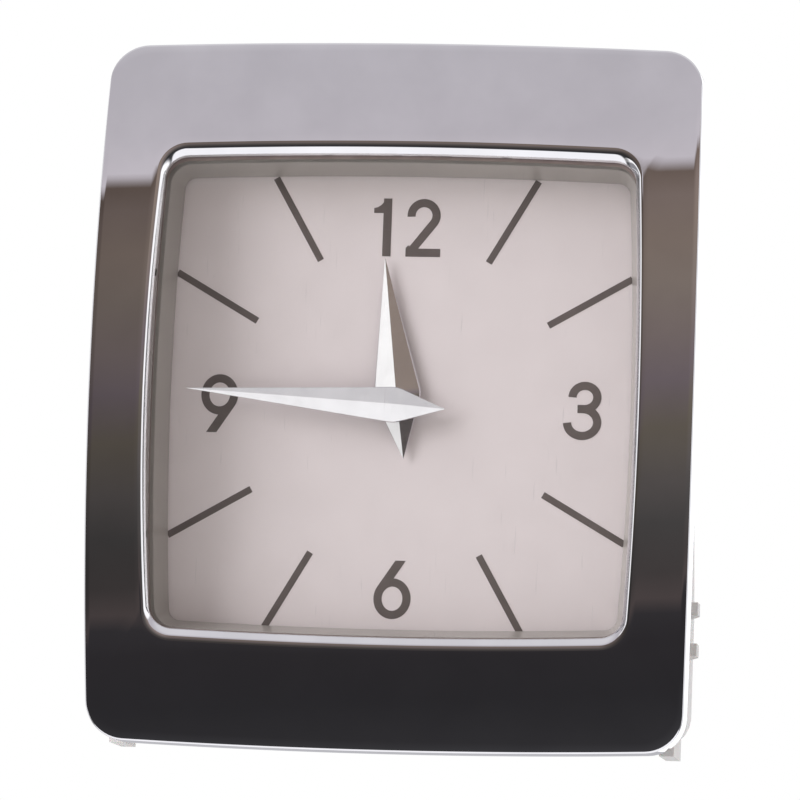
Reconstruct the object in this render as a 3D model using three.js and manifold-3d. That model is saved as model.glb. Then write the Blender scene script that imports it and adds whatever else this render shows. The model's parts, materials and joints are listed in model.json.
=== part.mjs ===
/**
 * Dashboard clock: a chrome-plated frame with a rectangular window, a pale dial with two faceted
 * hands, a snap-in rear housing, and a stepper movement on a circuit board behind the dial.
 *
 * Millimetres. +X is the viewer's right, +Z is up and the dial faces -Y. The origin lies on the
 * hands' axis, level with the frame's back rim at mid height.
 */
import * as THREE from 'three';
import { mergeVertices } from 'three/addons/utils/BufferGeometryUtils.js';
import { ConvexGeometry } from 'three/addons/geometries/ConvexGeometry.js';
import Module from 'manifold-3d';

const wasm = await Module();
wasm.setup();

// ---------------------------------------------------------------- driving dimensions

const SEAT_GAP = 0.2;            // between pieces that rest on or fit into each other
const RUN_GAP = 0.1;             // radial, round every shaft and stud
const LEVEL_GAP = 0.25;          // between one wheel of the train and the next
const PAST = 1;                  // how far a cutter runs past the face it opens
const FUSE = 0.1;                // how far joined solids sink into each other
const SIDES = { pin: 12, shaft: 16, round: 20, hole: 24 };

// Frame: an outline with bowed sides, a front that is one arc from top to bottom
const FRAME = { width: 62, height: 72.7, corner: 4, sideBow: 0.4, endBow: 0.5, raise: 0.8 };
const FRAME_THICKNESS = 4.4;     // front to back rim at mid height
const FRONT_SAG = 4.05;          // how far the front falls back at the top and bottom edges
const RIM_SAG = 3.2;             // how far the back rim does
const FRONT_EDGE_RADIUS = 1.0;

// Window in the frame, measured where the frame meets the lens; the bands are what is left round it
const BAND = { side: 6.15, end: 11.95 };
const WINDOW = {
  width: FRAME.width - 2 * BAND.side,
  height: FRAME.height - 2 * BAND.end,
  corner: 2.3,
  sideBow: 0.7,
  endBow: 0.45,
  raise: 0.5,
};
// The lip steps outwards from there: a steep wall, a bright chamfer and a rolled edge.
// out is the growth at the sides, up at the top and bottom, sink the depth below the front.
const LIP = [
  { out: 0.98, up: 1.65, sink: 0.0 },
  { out: 0.83, up: 1.35, sink: 0.15 },
  { out: 0.62, up: 1.09, sink: 0.55 },
  { out: 0.24, up: 0.39, sink: 1.0 },
];
const LIP_FLOOR = 0.15;          // least height of the steep wall above the lens's seat

// Lens and dial
const DIAL_DEPTH = 7.8;          // from the frame's front to the dial's face
const LENS_THICKNESS = 1.0;
const LENS_REBATE = 2.2;         // how far the lens reaches under the lip
const DIAL_THICKNESS = 0.6;
const DIAL_DRAFT = 1.05;         // how far the inner wall leans in from lens to dial
const SURROUND_FLANGE = 0.5;     // thickness of the surround's flange
const GUIDE_THICKNESS = 2.0;
const CENTRE_HOLE_R = 1.6;       // through dial and light guide

// Rear housing, set in from the frame's edge
const HOUSING_INSET = { side: 1.9, end: 3.15 };
const HOUSING = {
  width: FRAME.width - 2 * HOUSING_INSET.side,
  height: FRAME.height - 2 * HOUSING_INSET.end,
  corner: 3,
  sideBow: 0,
  endBow: 0,
  raise: 0.4,
};
const HOUSING_BOTTOM = HOUSING.raise - HOUSING.height / 2;
const HOUSING_WALL = 1.6;
const STEP_TOP = HOUSING_BOTTOM + 27.8;     // the back slopes from here
const STEP_BOTTOM = HOUSING_BOTTOM + 13.8;  // to here
const EAR = { reach: 1.7, thickness: 1.3, length: 7, land: 2.3, front: 8, rises: [13.25, 9.05] };
const CORNER_RIB = { thickness: 1.5, drop: 2.1, front: 5, back: 12, root: 4 };

// Case screws, one in each corner, set in from the frame's edge
const SCREW_INSET = { side: 7, end: 6.05 };
const SCREW_X = FRAME.width / 2 - SCREW_INSET.side;
const SCREW_Z = FRAME.height / 2 - SCREW_INSET.end;  // above and below the frame's centre
const SCREW_R = 0.9;
const SCREW_HEAD_R = 1.9;
const SCREW_HEAD = 1.0;
const SCREW_SEAT_Y = 8;          // where the head bears inside its post
const SCREW_GRIP = 1.6;          // how far the tip enters the frame
const POST_WALL = 1.0;
const POST_R = SCREW_HEAD_R + SEAT_GAP + POST_WALL;
const POST_SHORT = 0.5;          // a post's root ends this far inside the housing's back
const RECESS = { reach: 1.1, width: 0.28, floor: 0.45 };  // cross recess, in head radii and heights

// Hands, as they stand at about a quarter to twelve
const MINUTE_ANGLE = 273.6;      // clockwise from twelve, in degrees
const HOUR_ANGLE = 352.8;
const HAND_LIFT = 0.6;           // dial to the hour hand's underside
const HAND_GAP = 0.25;           // hour hand's ridge to the minute hand's underside
const LENS_GAP = 0.55;           // minute hand's ridge to the lens
const HAND_MARGIN = 1.35;        // minute hand's tip to the wall round the dial
const DIAL_REACH = Math.min(WINDOW.width, WINDOW.height) / 2 - DIAL_DRAFT;
const MINUTE_TIP = DIAL_REACH - HAND_MARGIN;
const MINUTE_HAND = {
  tip: MINUTE_TIP, tail: 5.0, width: 3.6, belly: 0.7, ridge: 1.1, bevel: 0.12, point: 0.12,
};
const HOUR_HAND = {
  tip: MINUTE_TIP - 6.5, tail: 5.4, width: 4.8, belly: 0.9, ridge: 1.1, bevel: 0.4, point: 0.12,
};
const SHOULDER = 0.96;           // a hand's width beside its widest point, as a share
const SHAFT_REACH = 0.66;        // how far the minute arbor stands into its hand
const PIPE_REACH = 0.77;         // how far the hour wheel's pipe stands into its hand

// Gear train. Pressure angle and tooth form are shared by every pair.
const PRESSURE_ANGLE = THREE.MathUtils.degToRad(30);
const ADDENDUM = 0.8;            // in modules
const DEDENDUM = 1.05;
const TOOTH_WIDTH = 1.42;        // at the pitch circle, in modules
const FINE_TEETH = 20;           // gears with fewer teeth get rounder flanks
const WHEEL_THICKNESS = 0.6;
const PINION_EXTRA = 0.1;        // a pinion stands this far past its wheel on both sides
const MOTION_MODULE = 0.3;
const CENTRE_MODULE = 0.25;
const SECOND_MODULE = 0.2;
const TEETH = {
  minutePinion: 10, motionWheel: 30, motionPinion: 8, hourWheel: 32,
  centreWheel: 64, secondPinion: 8, secondWheel: 48, rotorPinion: 8,
};
const MOTION_BEARING = 60;       // direction of each axis from the one before, in degrees
const SECOND_BEARING = 235;
const ROTOR_BEARING = 330;
const MINUTE_SHAFT_R = 0.5;
const PIPE_R = 1.1;              // the hour wheel's pipe
const MOTION_STUD_R = 0.6;
const SECOND_ARBOR_R = 0.35;
const ROTOR_ARBOR_R = 0.25;
const MAGNET_R = 1.2;
const MAGNET_THICKNESS = 1.2;

// Movement plates and motor
const PLATE = { width: 32, height: 31, corner: 2.5, sideBow: 0, endBow: 0, raise: -3.5 };
const FRONT_PLATE_THICKNESS = 0.7;
const BACK_PLATE_THICKNESS = 0.8;
const PILLAR_R = 1.5;
const PILLAR_INSET = 2.1;        // from the plate's edges
const STATOR_THICKNESS = 0.6;
const STATOR_LENGTH = 24;
const STATOR_WIDTH = 4.4;
const STATOR_HOLE_GAP = 0.3;
const STATOR_ARM = 3;
const CORE_DROP = 5.6;           // from the rotor's axis down to the coil's axis
const CORE = { width: 2.0, thickness: 0.8 };
const BOBBIN = { length: 17, wall: 0.3, flange: 0.7, flangeWidth: 4.4, flangeDepth: 3.2 };
const WINDING_INSET = 0.25;      // the winding stays this far below the flanges' rim

// Circuit board: a rectangle between the upper posts and the lower, with a tongue between the lower
const BOARD_GAP = { side: 1.5, top: 7, shoulder: 0.9, tongue: 1.4 };
const BOARD = {
  width: HOUSING.width - 2 * (HOUSING_WALL + BOARD_GAP.side),
  top: FRAME.raise + SCREW_Z - POST_R - BOARD_GAP.top,
  shoulder: FRAME.raise - SCREW_Z + POST_R + BOARD_GAP.shoulder,
  bottom: HOUSING_BOTTOM + HOUSING_WALL + SEAT_GAP,
  tongue: 2 * (SCREW_X - POST_R - BOARD_GAP.tongue),
};
const BOARD_THICKNESS = 1.0;
const BOARD_SCREW_X = BOARD.width / 2 - 5;
const BOARD_SCREW_Z = BOARD.top - 4;
const BOARD_SCREW_R = 0.8;
const BOARD_SCREW_HEAD_R = 1.6;
const BOARD_SCREW_HEAD = 0.7;

// What stands on the board. Lamps and crystal stand in a column along each side of it.
const COLUMN_X = BOARD.width / 2 - 2.4;
const LED = { size: 3.2, height: 1.4, xs: [-COLUMN_X, COLUMN_X], zs: [8, BOARD.shoulder + 3] };
const CHIP = { size: 6.5, height: 1.2, x: -3, z: STEP_BOTTOM + 4 };
const CRYSTAL = { radius: 1.0, length: 6.2, x: -COLUMN_X, z: -4 };
const CAPACITOR = { radius: 2.4, height: 4.6, pitch: 5.4, postGap: 0.6, rise: 0.6, headroom: 1 };
const CONNECTOR = { width: 16, height: 9, wall: 1, floor: 2, rise: 0.5, postGap: 1.5, stands: 2.5 };
const PIN = { size: 0.6, pitch: 2.5, count: 4, reach: 2.8, tailLength: 1.0 };
const BOARD_HEADROOM = 1.2;      // behind the board in the housing's upper part

// ---------------------------------------------------------------- levels from front to back

const FRONT_Y = -FRAME_THICKNESS;
const DIAL_Y = FRONT_Y + DIAL_DEPTH;
const HOUR_HAND_Y = DIAL_Y - HAND_LIFT;
const MINUTE_HAND_Y = HOUR_HAND_Y - HOUR_HAND.ridge - HAND_GAP;
const LENS_BACK_Y = MINUTE_HAND_Y - MINUTE_HAND.ridge - LENS_GAP;
const LENS_FRONT_Y = LENS_BACK_Y - LENS_THICKNESS;
const DIAL_BACK_Y = DIAL_Y + DIAL_THICKNESS;
const GUIDE_Y = DIAL_BACK_Y + SEAT_GAP;
const GUIDE_BACK_Y = GUIDE_Y + GUIDE_THICKNESS;
const FRONT_PLATE_Y = GUIDE_BACK_Y + SEAT_GAP;
const TRAIN_Y = FRONT_PLATE_Y + FRONT_PLATE_THICKNESS;
const HOUR_WHEEL_Y = TRAIN_Y + LEVEL_GAP;
const LEVEL = WHEEL_THICKNESS + LEVEL_GAP;
const MOTION_WHEEL_Y = HOUR_WHEEL_Y + LEVEL;
const CENTRE_WHEEL_Y = MOTION_WHEEL_Y + LEVEL;
const SECOND_WHEEL_Y = CENTRE_WHEEL_Y + LEVEL;
const MAGNET_Y = SECOND_WHEEL_Y + LEVEL;
const BACK_PLATE_Y = MAGNET_Y + MAGNET_THICKNESS + LEVEL_GAP;
const BACK_PLATE_END = BACK_PLATE_Y + BACK_PLATE_THICKNESS;
const BOARD_Y = BACK_PLATE_END + SEAT_GAP;
const BOARD_BACK_Y = BOARD_Y + BOARD_THICKNESS;
const PART_BACK_Y = BOARD_BACK_Y + RUN_GAP;   // what stands behind the board starts here
const UPPER_BACK = BOARD_BACK_Y + BOARD_HEADROOM + HOUSING_WALL;
const LOWER_BACK = PART_BACK_Y + CAPACITOR.height + CAPACITOR.headroom + HOUSING_WALL;

/** How far towards the top or bottom edge height z lies: 0 at mid height, 1 at the edge. */
const reachAt = (z) => (z - FRAME.raise) / (FRAME.height / 2);
/** Depth of the frame's front at height z. */
const frontAt = (z) => FRONT_Y + FRONT_SAG * reachAt(z) ** 2;
/** Depth of the frame's back rim at height z. */
const rimAt = (z) => RIM_SAG * reachAt(z) ** 2;

// ---------------------------------------------------------------- axes of the train

/** A point at a distance and bearing from another, in the plane of the dial. */
function from(point, distance, bearing) {
  const angle = THREE.MathUtils.degToRad(bearing);
  return { x: point.x + distance * Math.cos(angle), z: point.z + distance * Math.sin(angle) };
}

const centreDistance = (module, teethA, teethB) => (module * (teethA + teethB)) / 2;
const CENTRE_AXIS = { x: 0, z: 0 };
const MOTION_AXIS = from(CENTRE_AXIS,
  centreDistance(MOTION_MODULE, TEETH.minutePinion, TEETH.motionWheel), MOTION_BEARING);
const SECOND_AXIS = from(CENTRE_AXIS,
  centreDistance(CENTRE_MODULE, TEETH.centreWheel, TEETH.secondPinion), SECOND_BEARING);
const ROTOR_AXIS = from(SECOND_AXIS,
  centreDistance(SECOND_MODULE, TEETH.secondWheel, TEETH.rotorPinion), ROTOR_BEARING);

// ---------------------------------------------------------------- materials

/** A standard material from its colour, roughness and metalness. */
function finish(color, roughness, metalness) {
  return new THREE.MeshStandardMaterial({ color, roughness, metalness });
}

const CHROME = finish(0xc8c8ca, 0.06, 1);
const CLEAR = finish(0xf4f4f2, 0.05, 0);
const GREY_WALL = finish(0x8d8882, 0.5, 0);
const DIAL_WHITE = finish(0xd6cbc6, 0.6, 0);
const WHITE_PLASTIC = finish(0xeceae4, 0.45, 0);
const GEAR_PLASTIC = finish(0xe6e1d4, 0.5, 0);
const BOARD_GREEN = finish(0x2c6b45, 0.5, 0);
const BLACK_PLASTIC = finish(0x1c1c1e, 0.5, 0);
const STEEL = finish(0xa9abad, 0.35, 1);
const BRASS = finish(0xb99a55, 0.3, 1);
const COPPER = finish(0xa4562c, 0.4, 1);
const MAGNET = finish(0x45454a, 0.45, 0.7);
const LED_WHITE = finish(0xf5f2dc, 0.3, 0);

// ---------------------------------------------------------------- geometry helpers

const SIDE_STEPS = 6;
const CORNER_STEPS = 5;
const PROFILE_STEPS = 12;
const EDGE_ARC = [0, 30, 60, 90];

/** Points round a rounded rectangle with bowed sides, anticlockwise, grown by an offset. */
function outline(form, grow = 0) {
  const radius = form.corner + grow;
  const coreX = form.width / 2 - form.corner;
  const coreZ = form.height / 2 - form.corner;
  const sides = [0, 1, 2, 3].map((turn) => {
    const angle = (turn * Math.PI) / 2;
    const upright = turn % 2 === 0;
    return {
      out: new THREE.Vector2(Math.round(Math.cos(angle)), Math.round(Math.sin(angle))),
      reach: upright ? coreX : coreZ,
      bow: upright ? form.sideBow : form.endBow,
      along: upright ? coreZ - form.endBow : coreX - form.sideBow,
    };
  });
  const tangent = (side) => new THREE.Vector2(-side.out.y, side.out.x);
  const normalAt = (side, t) => side.out.clone()
    .addScaledVector(tangent(side), (2 * side.bow * t) / side.along).normalize();
  const coreAt = (side, t) => side.out.clone().multiplyScalar(side.reach - side.bow * t * t)
    .addScaledVector(tangent(side), side.along * t);
  const points = [];
  sides.forEach((side, index) => {
    for (let i = 0; i <= SIDE_STEPS; i++) {
      const t = (2 * i) / SIDE_STEPS - 1;
      points.push(coreAt(side, t).addScaledVector(normalAt(side, t), radius));
    }
    const start = normalAt(side, 1);
    const end = normalAt(sides[(index + 1) % sides.length], -1);
    const sweep = Math.acos(THREE.MathUtils.clamp(start.dot(end), -1, 1));
    for (let i = 1; i < CORNER_STEPS; i++) {
      const arc = start.clone().rotateAround(new THREE.Vector2(), (sweep * i) / CORNER_STEPS);
      points.push(coreAt(side, 1).addScaledVector(arc, radius));
    }
  });
  return points.map((p) => new THREE.Vector2(p.x, p.y + form.raise));
}

/** The same form with its width and height changed, and its corners kept in step. */
function resized(form, out, up) {
  return {
    ...form,
    width: form.width + 2 * out,
    height: form.height + 2 * up,
    corner: form.corner + Math.min(out, up),
  };
}

/** A loop of 3D points: an outline set at a depth that may change with height. */
function loopAt(points, depth) {
  return points.map((p) => new THREE.Vector3(p.x, depth(p.y), p.y));
}

/** Volume inside a geometry, negative when its faces point inwards. */
function signedVolume(position, index) {
  const corner = [0, 1, 2].map(() => new THREE.Vector3());
  let volume = 0;
  for (let i = 0; i < index.length; i += 3) {
    corner.forEach((point, k) => point.fromBufferAttribute(position, index[i + k]));
    volume += corner[0].dot(corner[1].clone().cross(corner[2])) / 6;
  }
  return volume;
}

/** A geometry from points and triangles, with its faces turned outwards. */
function surface(points, triangles) {
  const geometry = new THREE.BufferGeometry();
  geometry.setAttribute('position',
    new THREE.Float32BufferAttribute(points.flatMap((p) => [p.x, p.y, p.z]), 3));
  const inward = signedVolume(geometry.getAttribute('position'), triangles) < 0;
  geometry.setIndex(inward ? triangles.toReversed() : triangles);
  return geometry;
}

/** A closed ring from loops of equal length; the last loop joins the first. */
function ring(loops) {
  const count = loops[0].length;
  const triangles = [];
  loops.forEach((_, row) => {
    const next = (row + 1) % loops.length;
    for (let i = 0; i < count; i++) {
      const j = (i + 1) % count;
      const [a, b, c, d] = [row * count + i, row * count + j, next * count + j, next * count + i];
      triangles.push(a, b, c, a, c, d);
    }
  });
  return surface(loops.flat(), triangles);
}

/** A flat plate between two depths, from points or a Shape, with optional round holes. */
function plate(points, front, back, holes = []) {
  const shape = new THREE.Shape(points);
  holes.forEach(({ x, z, radius, sides = SIDES.hole }) => {
    const hole = Array.from({ length: sides }, (_, i) => {
      const angle = (2 * Math.PI * i) / sides;
      return new THREE.Vector2(x + radius * Math.cos(angle), z + radius * Math.sin(angle));
    });
    shape.holes.push(new THREE.Path(hole));
  });
  const geometry = new THREE.ExtrudeGeometry(shape, { depth: back - front, bevelEnabled: false });
  return geometry.rotateX(Math.PI / 2).translate(0, back, 0);
}

/** A bar of constant section seen from the side: points are (depth, height) pairs. */
function sideBar(points, width) {
  const shape = new THREE.Shape(points);
  const geometry = new THREE.ExtrudeGeometry(shape, { depth: width, bevelEnabled: false });
  geometry.translate(0, 0, -width / 2);
  // section (depth, height) and run become (y, z) and x
  const turn = new THREE.Matrix4();
  turn.makeBasis(new THREE.Vector3(0, 1, 0), new THREE.Vector3(0, 0, 1), new THREE.Vector3(1, 0, 0));
  return geometry.applyMatrix4(turn);
}

/** A round bar along the depth, at a point of the dial's plane. */
function rod(radius, front, back, at = CENTRE_AXIS, sides = SIDES.round) {
  const geometry = new THREE.CylinderGeometry(radius, radius, back - front, sides);
  return geometry.translate(at.x, (front + back) / 2, at.z);
}

/** A block given by its lowest and highest corners. */
function block(low, high) {
  const size = high.map((value, i) => value - low[i]);
  const geometry = new THREE.BoxGeometry(...size);
  return geometry.translate(...low.map((value, i) => value + size[i] / 2));
}

/** A geometry as a solid that can be joined and cut. */
function solid(geometry) {
  const bare = geometry.clone();
  bare.deleteAttribute('normal');
  bare.deleteAttribute('uv');
  const merged = mergeVertices(bare, 1e-5);
  return new wasm.Manifold(new wasm.Mesh({
    numProp: 3,
    vertProperties: new Float32Array(merged.getAttribute('position').array),
    triVerts: new Uint32Array(merged.index.array),
  }));
}

/** The geometry of a solid. */
function geometryOf(body) {
  const mesh = body.getMesh();
  const geometry = new THREE.BufferGeometry();
  geometry.setAttribute('position', new THREE.BufferAttribute(mesh.vertProperties, 3));
  geometry.setIndex(new THREE.BufferAttribute(mesh.triVerts, 1));
  return geometry;
}

/** A base geometry with others joined to it and then others cut from it. */
function carve(base, { add = [], cut = [] }) {
  let body = solid(base);
  add.forEach((extra) => { body = body.add(solid(extra)); });
  cut.forEach((cutter) => { body = body.subtract(solid(cutter)); });
  return geometryOf(body);
}

const clock = new THREE.Group();
clock.name = 'dashboard_clock';

/** Adds one named piece to the clock. */
function piece(name, geometry, material) {
  const mesh = new THREE.Mesh(geometry, material);
  mesh.name = name;
  clock.add(mesh);
  return mesh;
}

// ---------------------------------------------------------------- frame, lens and dial

/** Where the four case screws stand. */
const SCREWS = [-1, 1].flatMap((sx) => [-1, 1].map((sz) => (
  { x: sx * SCREW_X, z: FRAME.raise + sz * SCREW_Z })));

const LENS_FORM = resized(WINDOW, LENS_REBATE, LENS_REBATE);
const POCKET_FORM = resized(LENS_FORM, SEAT_GAP, SEAT_GAP);

/** Chrome-plated frame: bowed front, rolled lip round the window, rebate for the lens. */
function buildFrame() {
  const edge = EDGE_ARC.map((degrees) => {
    const angle = THREE.MathUtils.degToRad(degrees);
    const inset = FRONT_EDGE_RADIUS * (1 - Math.cos(angle));
    const sink = FRONT_EDGE_RADIUS * (1 - Math.sin(angle));
    return loopAt(outline(FRAME, -inset), (z) => frontAt(z) + sink);
  });
  const seatY = LENS_FRONT_Y - SEAT_GAP;
  // where the front falls back so far that the lip would reach the seat, the lip gets shallower
  const deepest = LIP.at(-1).sink;
  const lipShare = (z) => Math.min(1, (seatY - frontAt(z) - LIP_FLOOR) / deepest);
  const lip = LIP.map(({ out, up, sink }) => (
    loopAt(outline(resized(WINDOW, out, up)), (z) => frontAt(z) + sink * lipShare(z))));
  const midForm = resized(WINDOW,
    (FRAME.width - WINDOW.width) / 4, (FRAME.height - WINDOW.height) / 4);
  const body = ring([
    loopAt(outline(FRAME), rimAt),
    ...edge,
    loopAt(outline(midForm), frontAt),
    ...lip,
    loopAt(outline(WINDOW), () => seatY),
    loopAt(outline(POCKET_FORM), () => seatY),
    loopAt(outline(POCKET_FORM), rimAt),
  ]);
  const pilots = SCREWS.map((at) => (
    rod(SCREW_R + RUN_GAP, rimAt(at.z) - SCREW_GRIP - SEAT_GAP, rimAt(at.z) + PAST, at)));
  return carve(body, { cut: pilots });
}

/** Inner wall between lens and dial, with a flange that closes the housing round it. */
function buildSurround() {
  const front = LENS_BACK_Y + SEAT_GAP;
  const back = DIAL_Y - SEAT_GAP;
  const foot = resized(WINDOW, -DIAL_DRAFT, -DIAL_DRAFT);
  const body = ring([
    loopAt(outline(LENS_FORM), () => front),
    loopAt(outline(WINDOW, SEAT_GAP), () => front),
    loopAt(outline(foot), () => back),
    loopAt(outline(LENS_FORM), () => back),
  ]);
  const flange = plate(outline(HOUSING, -HOUSING_WALL - SEAT_GAP), back - SURROUND_FLANGE, back);
  const opening = plate(outline(LENS_FORM, -FUSE), back - SURROUND_FLANGE - PAST, back + PAST);
  const ledge = carve(flange, { cut: [opening] });
  const clearance = SCREWS.map((at) => rod(SCREW_R + SEAT_GAP, front, back + PAST, at));
  return carve(body, { add: [ledge], cut: clearance });
}

piece('front_frame', buildFrame(), CHROME);
piece('window_lens', plate(outline(LENS_FORM), LENS_FRONT_Y, LENS_BACK_Y), CLEAR);
piece('dial_surround', buildSurround(), GREY_WALL);
const centreHole = { ...CENTRE_AXIS, radius: CENTRE_HOLE_R };
piece('dial_plate', plate(outline(LENS_FORM), DIAL_Y, DIAL_BACK_Y, [centreHole]), DIAL_WHITE);
piece('light_guide', plate(outline(LENS_FORM), GUIDE_Y, GUIDE_BACK_Y, [centreHole]), CLEAR);

// ---------------------------------------------------------------- rear housing

/** Side view of the housing or its inside: arced front, stepped back. */
function housingProfile(form, frontDepth, backInset) {
  const top = form.raise + form.height / 2;
  const bottom = form.raise - form.height / 2;
  const points = [];
  for (let i = 0; i <= PROFILE_STEPS; i++) {
    const z = THREE.MathUtils.lerp(top, bottom, i / PROFILE_STEPS);
    points.push(new THREE.Vector2(frontDepth(z), z));
  }
  const slope = Math.atan2(LOWER_BACK - UPPER_BACK, STEP_TOP - STEP_BOTTOM);
  const shift = backInset * Math.tan(slope / 2);
  points.push(new THREE.Vector2(LOWER_BACK - backInset, bottom));
  points.push(new THREE.Vector2(LOWER_BACK - backInset, STEP_BOTTOM - shift));
  points.push(new THREE.Vector2(UPPER_BACK - backInset, STEP_TOP - shift));
  points.push(new THREE.Vector2(UPPER_BACK - backInset, top));
  return points;
}

/** A stepped box with rounded corners, used for the housing's outside and its inside. */
function steppedBox(form, frontDepth, backInset) {
  const bar = solid(sideBar(housingProfile(form, frontDepth, backInset), form.width + 2 * PAST));
  return bar.intersect(solid(plate(outline(form), FRONT_Y - PAST, LOWER_BACK + PAST)));
}

/** Where the two board screws stand. */
const BOARD_SCREWS = [-1, 1].map((side) => ({ x: side * BOARD_SCREW_X, z: BOARD_SCREW_Z }));
/** Corners of the connector seen from the dial's side, beside the lower right post. */
const CONNECTOR_HIGH = [
  SCREW_X - POST_R - CONNECTOR.postGap, BOARD.bottom + CONNECTOR.rise + CONNECTOR.height];
const CONNECTOR_LOW = [CONNECTOR_HIGH[0] - CONNECTOR.width, BOARD.bottom + CONNECTOR.rise];
const CONNECTOR_AXIS = {
  x: (CONNECTOR_LOW[0] + CONNECTOR_HIGH[0]) / 2, z: (CONNECTOR_LOW[1] + CONNECTOR_HIGH[1]) / 2,
};

/** Outside back face of the housing at height z. */
function housingBack(z) {
  const share = (STEP_TOP - z) / (STEP_TOP - STEP_BOTTOM);
  return THREE.MathUtils.lerp(UPPER_BACK, LOWER_BACK, THREE.MathUtils.clamp(share, 0, 1));
}

/** One snap ear: a short rib on a side wall, ramped towards the back. */
function snapEar(side, z) {
  const wallX = HOUSING.width / 2 - HOUSING_WALL / 2;
  const tipX = HOUSING.width / 2 + EAR.reach;
  const rampY = EAR.front + EAR.length;
  const shape = [[wallX, EAR.front], [tipX, EAR.front], [tipX, EAR.front + EAR.land],
    [HOUSING.width / 2, rampY], [wallX, rampY]].map(([x, y]) => new THREE.Vector2(side * x, y));
  const geometry = new THREE.ExtrudeGeometry(new THREE.Shape(shape),
    { depth: EAR.thickness, bevelEnabled: false });
  return geometry.translate(0, 0, z - EAR.thickness / 2);
}

/** One locating rib that stands below a bottom corner of the housing. */
function cornerRib(side) {
  const outer = HOUSING.width / 2;
  const xs = [side * outer, side * (outer - CORNER_RIB.thickness)].sort((a, b) => a - b);
  return block([xs[0], CORNER_RIB.front, HOUSING_BOTTOM - CORNER_RIB.drop],
    [xs[1], CORNER_RIB.back, HOUSING_BOTTOM + CORNER_RIB.root]);
}

/** White rear housing: open front, stepped back, screw posts, ears and the connector's opening. */
function buildHousing() {
  const shell = steppedBox(HOUSING, (z) => rimAt(z) + SEAT_GAP, 0);
  const insideForm = resized(HOUSING, -HOUSING_WALL, -HOUSING_WALL);
  let body = shell.subtract(steppedBox(insideForm, () => FRONT_Y, HOUSING_WALL));
  SCREWS.forEach((at) => {
    const post = rod(POST_R, DIAL_Y + SEAT_GAP, housingBack(at.z) - POST_SHORT, at, SIDES.hole);
    body = body.add(solid(post).intersect(shell));
  });
  BOARD_SCREWS.forEach((at) => {
    const front = BOARD_BACK_Y + SEAT_GAP;
    const post = rod(BOARD_SCREW_HEAD_R, front, housingBack(at.z) - POST_SHORT, at);
    body = body.add(solid(post));
  });
  [-1, 1].forEach((side) => {
    EAR.rises.forEach((rise) => { body = body.add(solid(snapEar(side, HOUSING_BOTTOM + rise))); });
    body = body.add(solid(cornerRib(side)));
  });
  const cuts = SCREWS.flatMap((at) => [
    rod(SCREW_R + RUN_GAP, 0, SCREW_SEAT_Y + PAST, at),
    rod(SCREW_HEAD_R + SEAT_GAP, SCREW_SEAT_Y, LOWER_BACK + PAST, at),
  ]);
  BOARD_SCREWS.forEach((at) => {
    cuts.push(rod(BOARD_SCREW_R + RUN_GAP, BOARD_BACK_Y, housingBack(at.z) - HOUSING_WALL / 2, at));
  });
  cuts.push(block([CONNECTOR_LOW[0] - SEAT_GAP, BOARD_BACK_Y, CONNECTOR_LOW[1] - SEAT_GAP],
    [CONNECTOR_HIGH[0] + SEAT_GAP, LOWER_BACK + PAST, CONNECTOR_HIGH[1] + SEAT_GAP]));
  cuts.forEach((cutter) => { body = body.subtract(solid(cutter)); });
  return geometryOf(body);
}

piece('rear_housing', buildHousing(), WHITE_PLASTIC);

/** A pan-head screw with a cross recess, pointing forwards from its seat. */
function screw(at, seat, tip, shankR, headR, head) {
  const long = headR * RECESS.reach;
  const short = headR * RECESS.width;
  const floor = seat + head * RECESS.floor;
  const recess = [[long, short], [short, long]].map(([wide, high]) => (
    block([at.x - wide / 2, floor, at.z - high / 2],
      [at.x + wide / 2, seat + head + PAST, at.z + high / 2])));
  const shank = rod(shankR, tip, seat + FUSE, at, SIDES.shaft);
  return carve(rod(headR, seat, seat + head, at), { add: [shank], cut: recess });
}

SCREWS.forEach((at, i) => {
  const tip = rimAt(at.z) - SCREW_GRIP;
  const geometry = screw(at, SCREW_SEAT_Y + RUN_GAP, tip, SCREW_R, SCREW_HEAD_R, SCREW_HEAD);
  piece(`case_screw_${i + 1}`, geometry, STEEL);
});

// ---------------------------------------------------------------- hands

/** A faceted dart along +Z: a narrow side bevel all round, then two faces up to a ridge. */
function dart({ tip, tail, width, belly, ridge, bevel, point }, base) {
  const half = width / 2;
  const under = [[0, tip], [0, -tail]];
  [1, -1].forEach((side) => {
    under.push([side * half * SHOULDER, belly], [side * half, 0], [side * half * SHOULDER, -belly]);
  });
  const shelf = 1 - bevel / half;
  const points = [new THREE.Vector3(0, base - ridge, 0)];
  under.forEach(([x, z]) => {
    const rise = x === 0 ? point : bevel;
    points.push(new THREE.Vector3(x, base, z), new THREE.Vector3(x * shelf, base - rise, z));
  });
  return new ConvexGeometry(points);
}

/** Turns a geometry clockwise about the hands' axis, in degrees from twelve. */
function clockwise(geometry, degrees) {
  return geometry.rotateY(THREE.MathUtils.degToRad(degrees));
}

const minuteBlank = dart(MINUTE_HAND, MINUTE_HAND_Y);
const shaftFront = MINUTE_HAND_Y - SHAFT_REACH;
const minuteSocket = rod(MINUTE_SHAFT_R + RUN_GAP, shaftFront - RUN_GAP, MINUTE_HAND_Y + PAST);
piece('minute_hand', clockwise(carve(minuteBlank, { cut: [minuteSocket] }), MINUTE_ANGLE), CHROME);

const hourBlank = dart(HOUR_HAND, HOUR_HAND_Y);
const hourSocket = rod(PIPE_R + RUN_GAP, HOUR_HAND_Y - HOUR_HAND.ridge - PAST, HOUR_HAND_Y + PAST);
piece('hour_hand', clockwise(carve(hourBlank, { cut: [hourSocket] }), HOUR_ANGLE), CHROME);

// ---------------------------------------------------------------- gear train

/** The involute function of a pressure angle. */
const involute = (angle) => Math.tan(angle) - angle;

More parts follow.
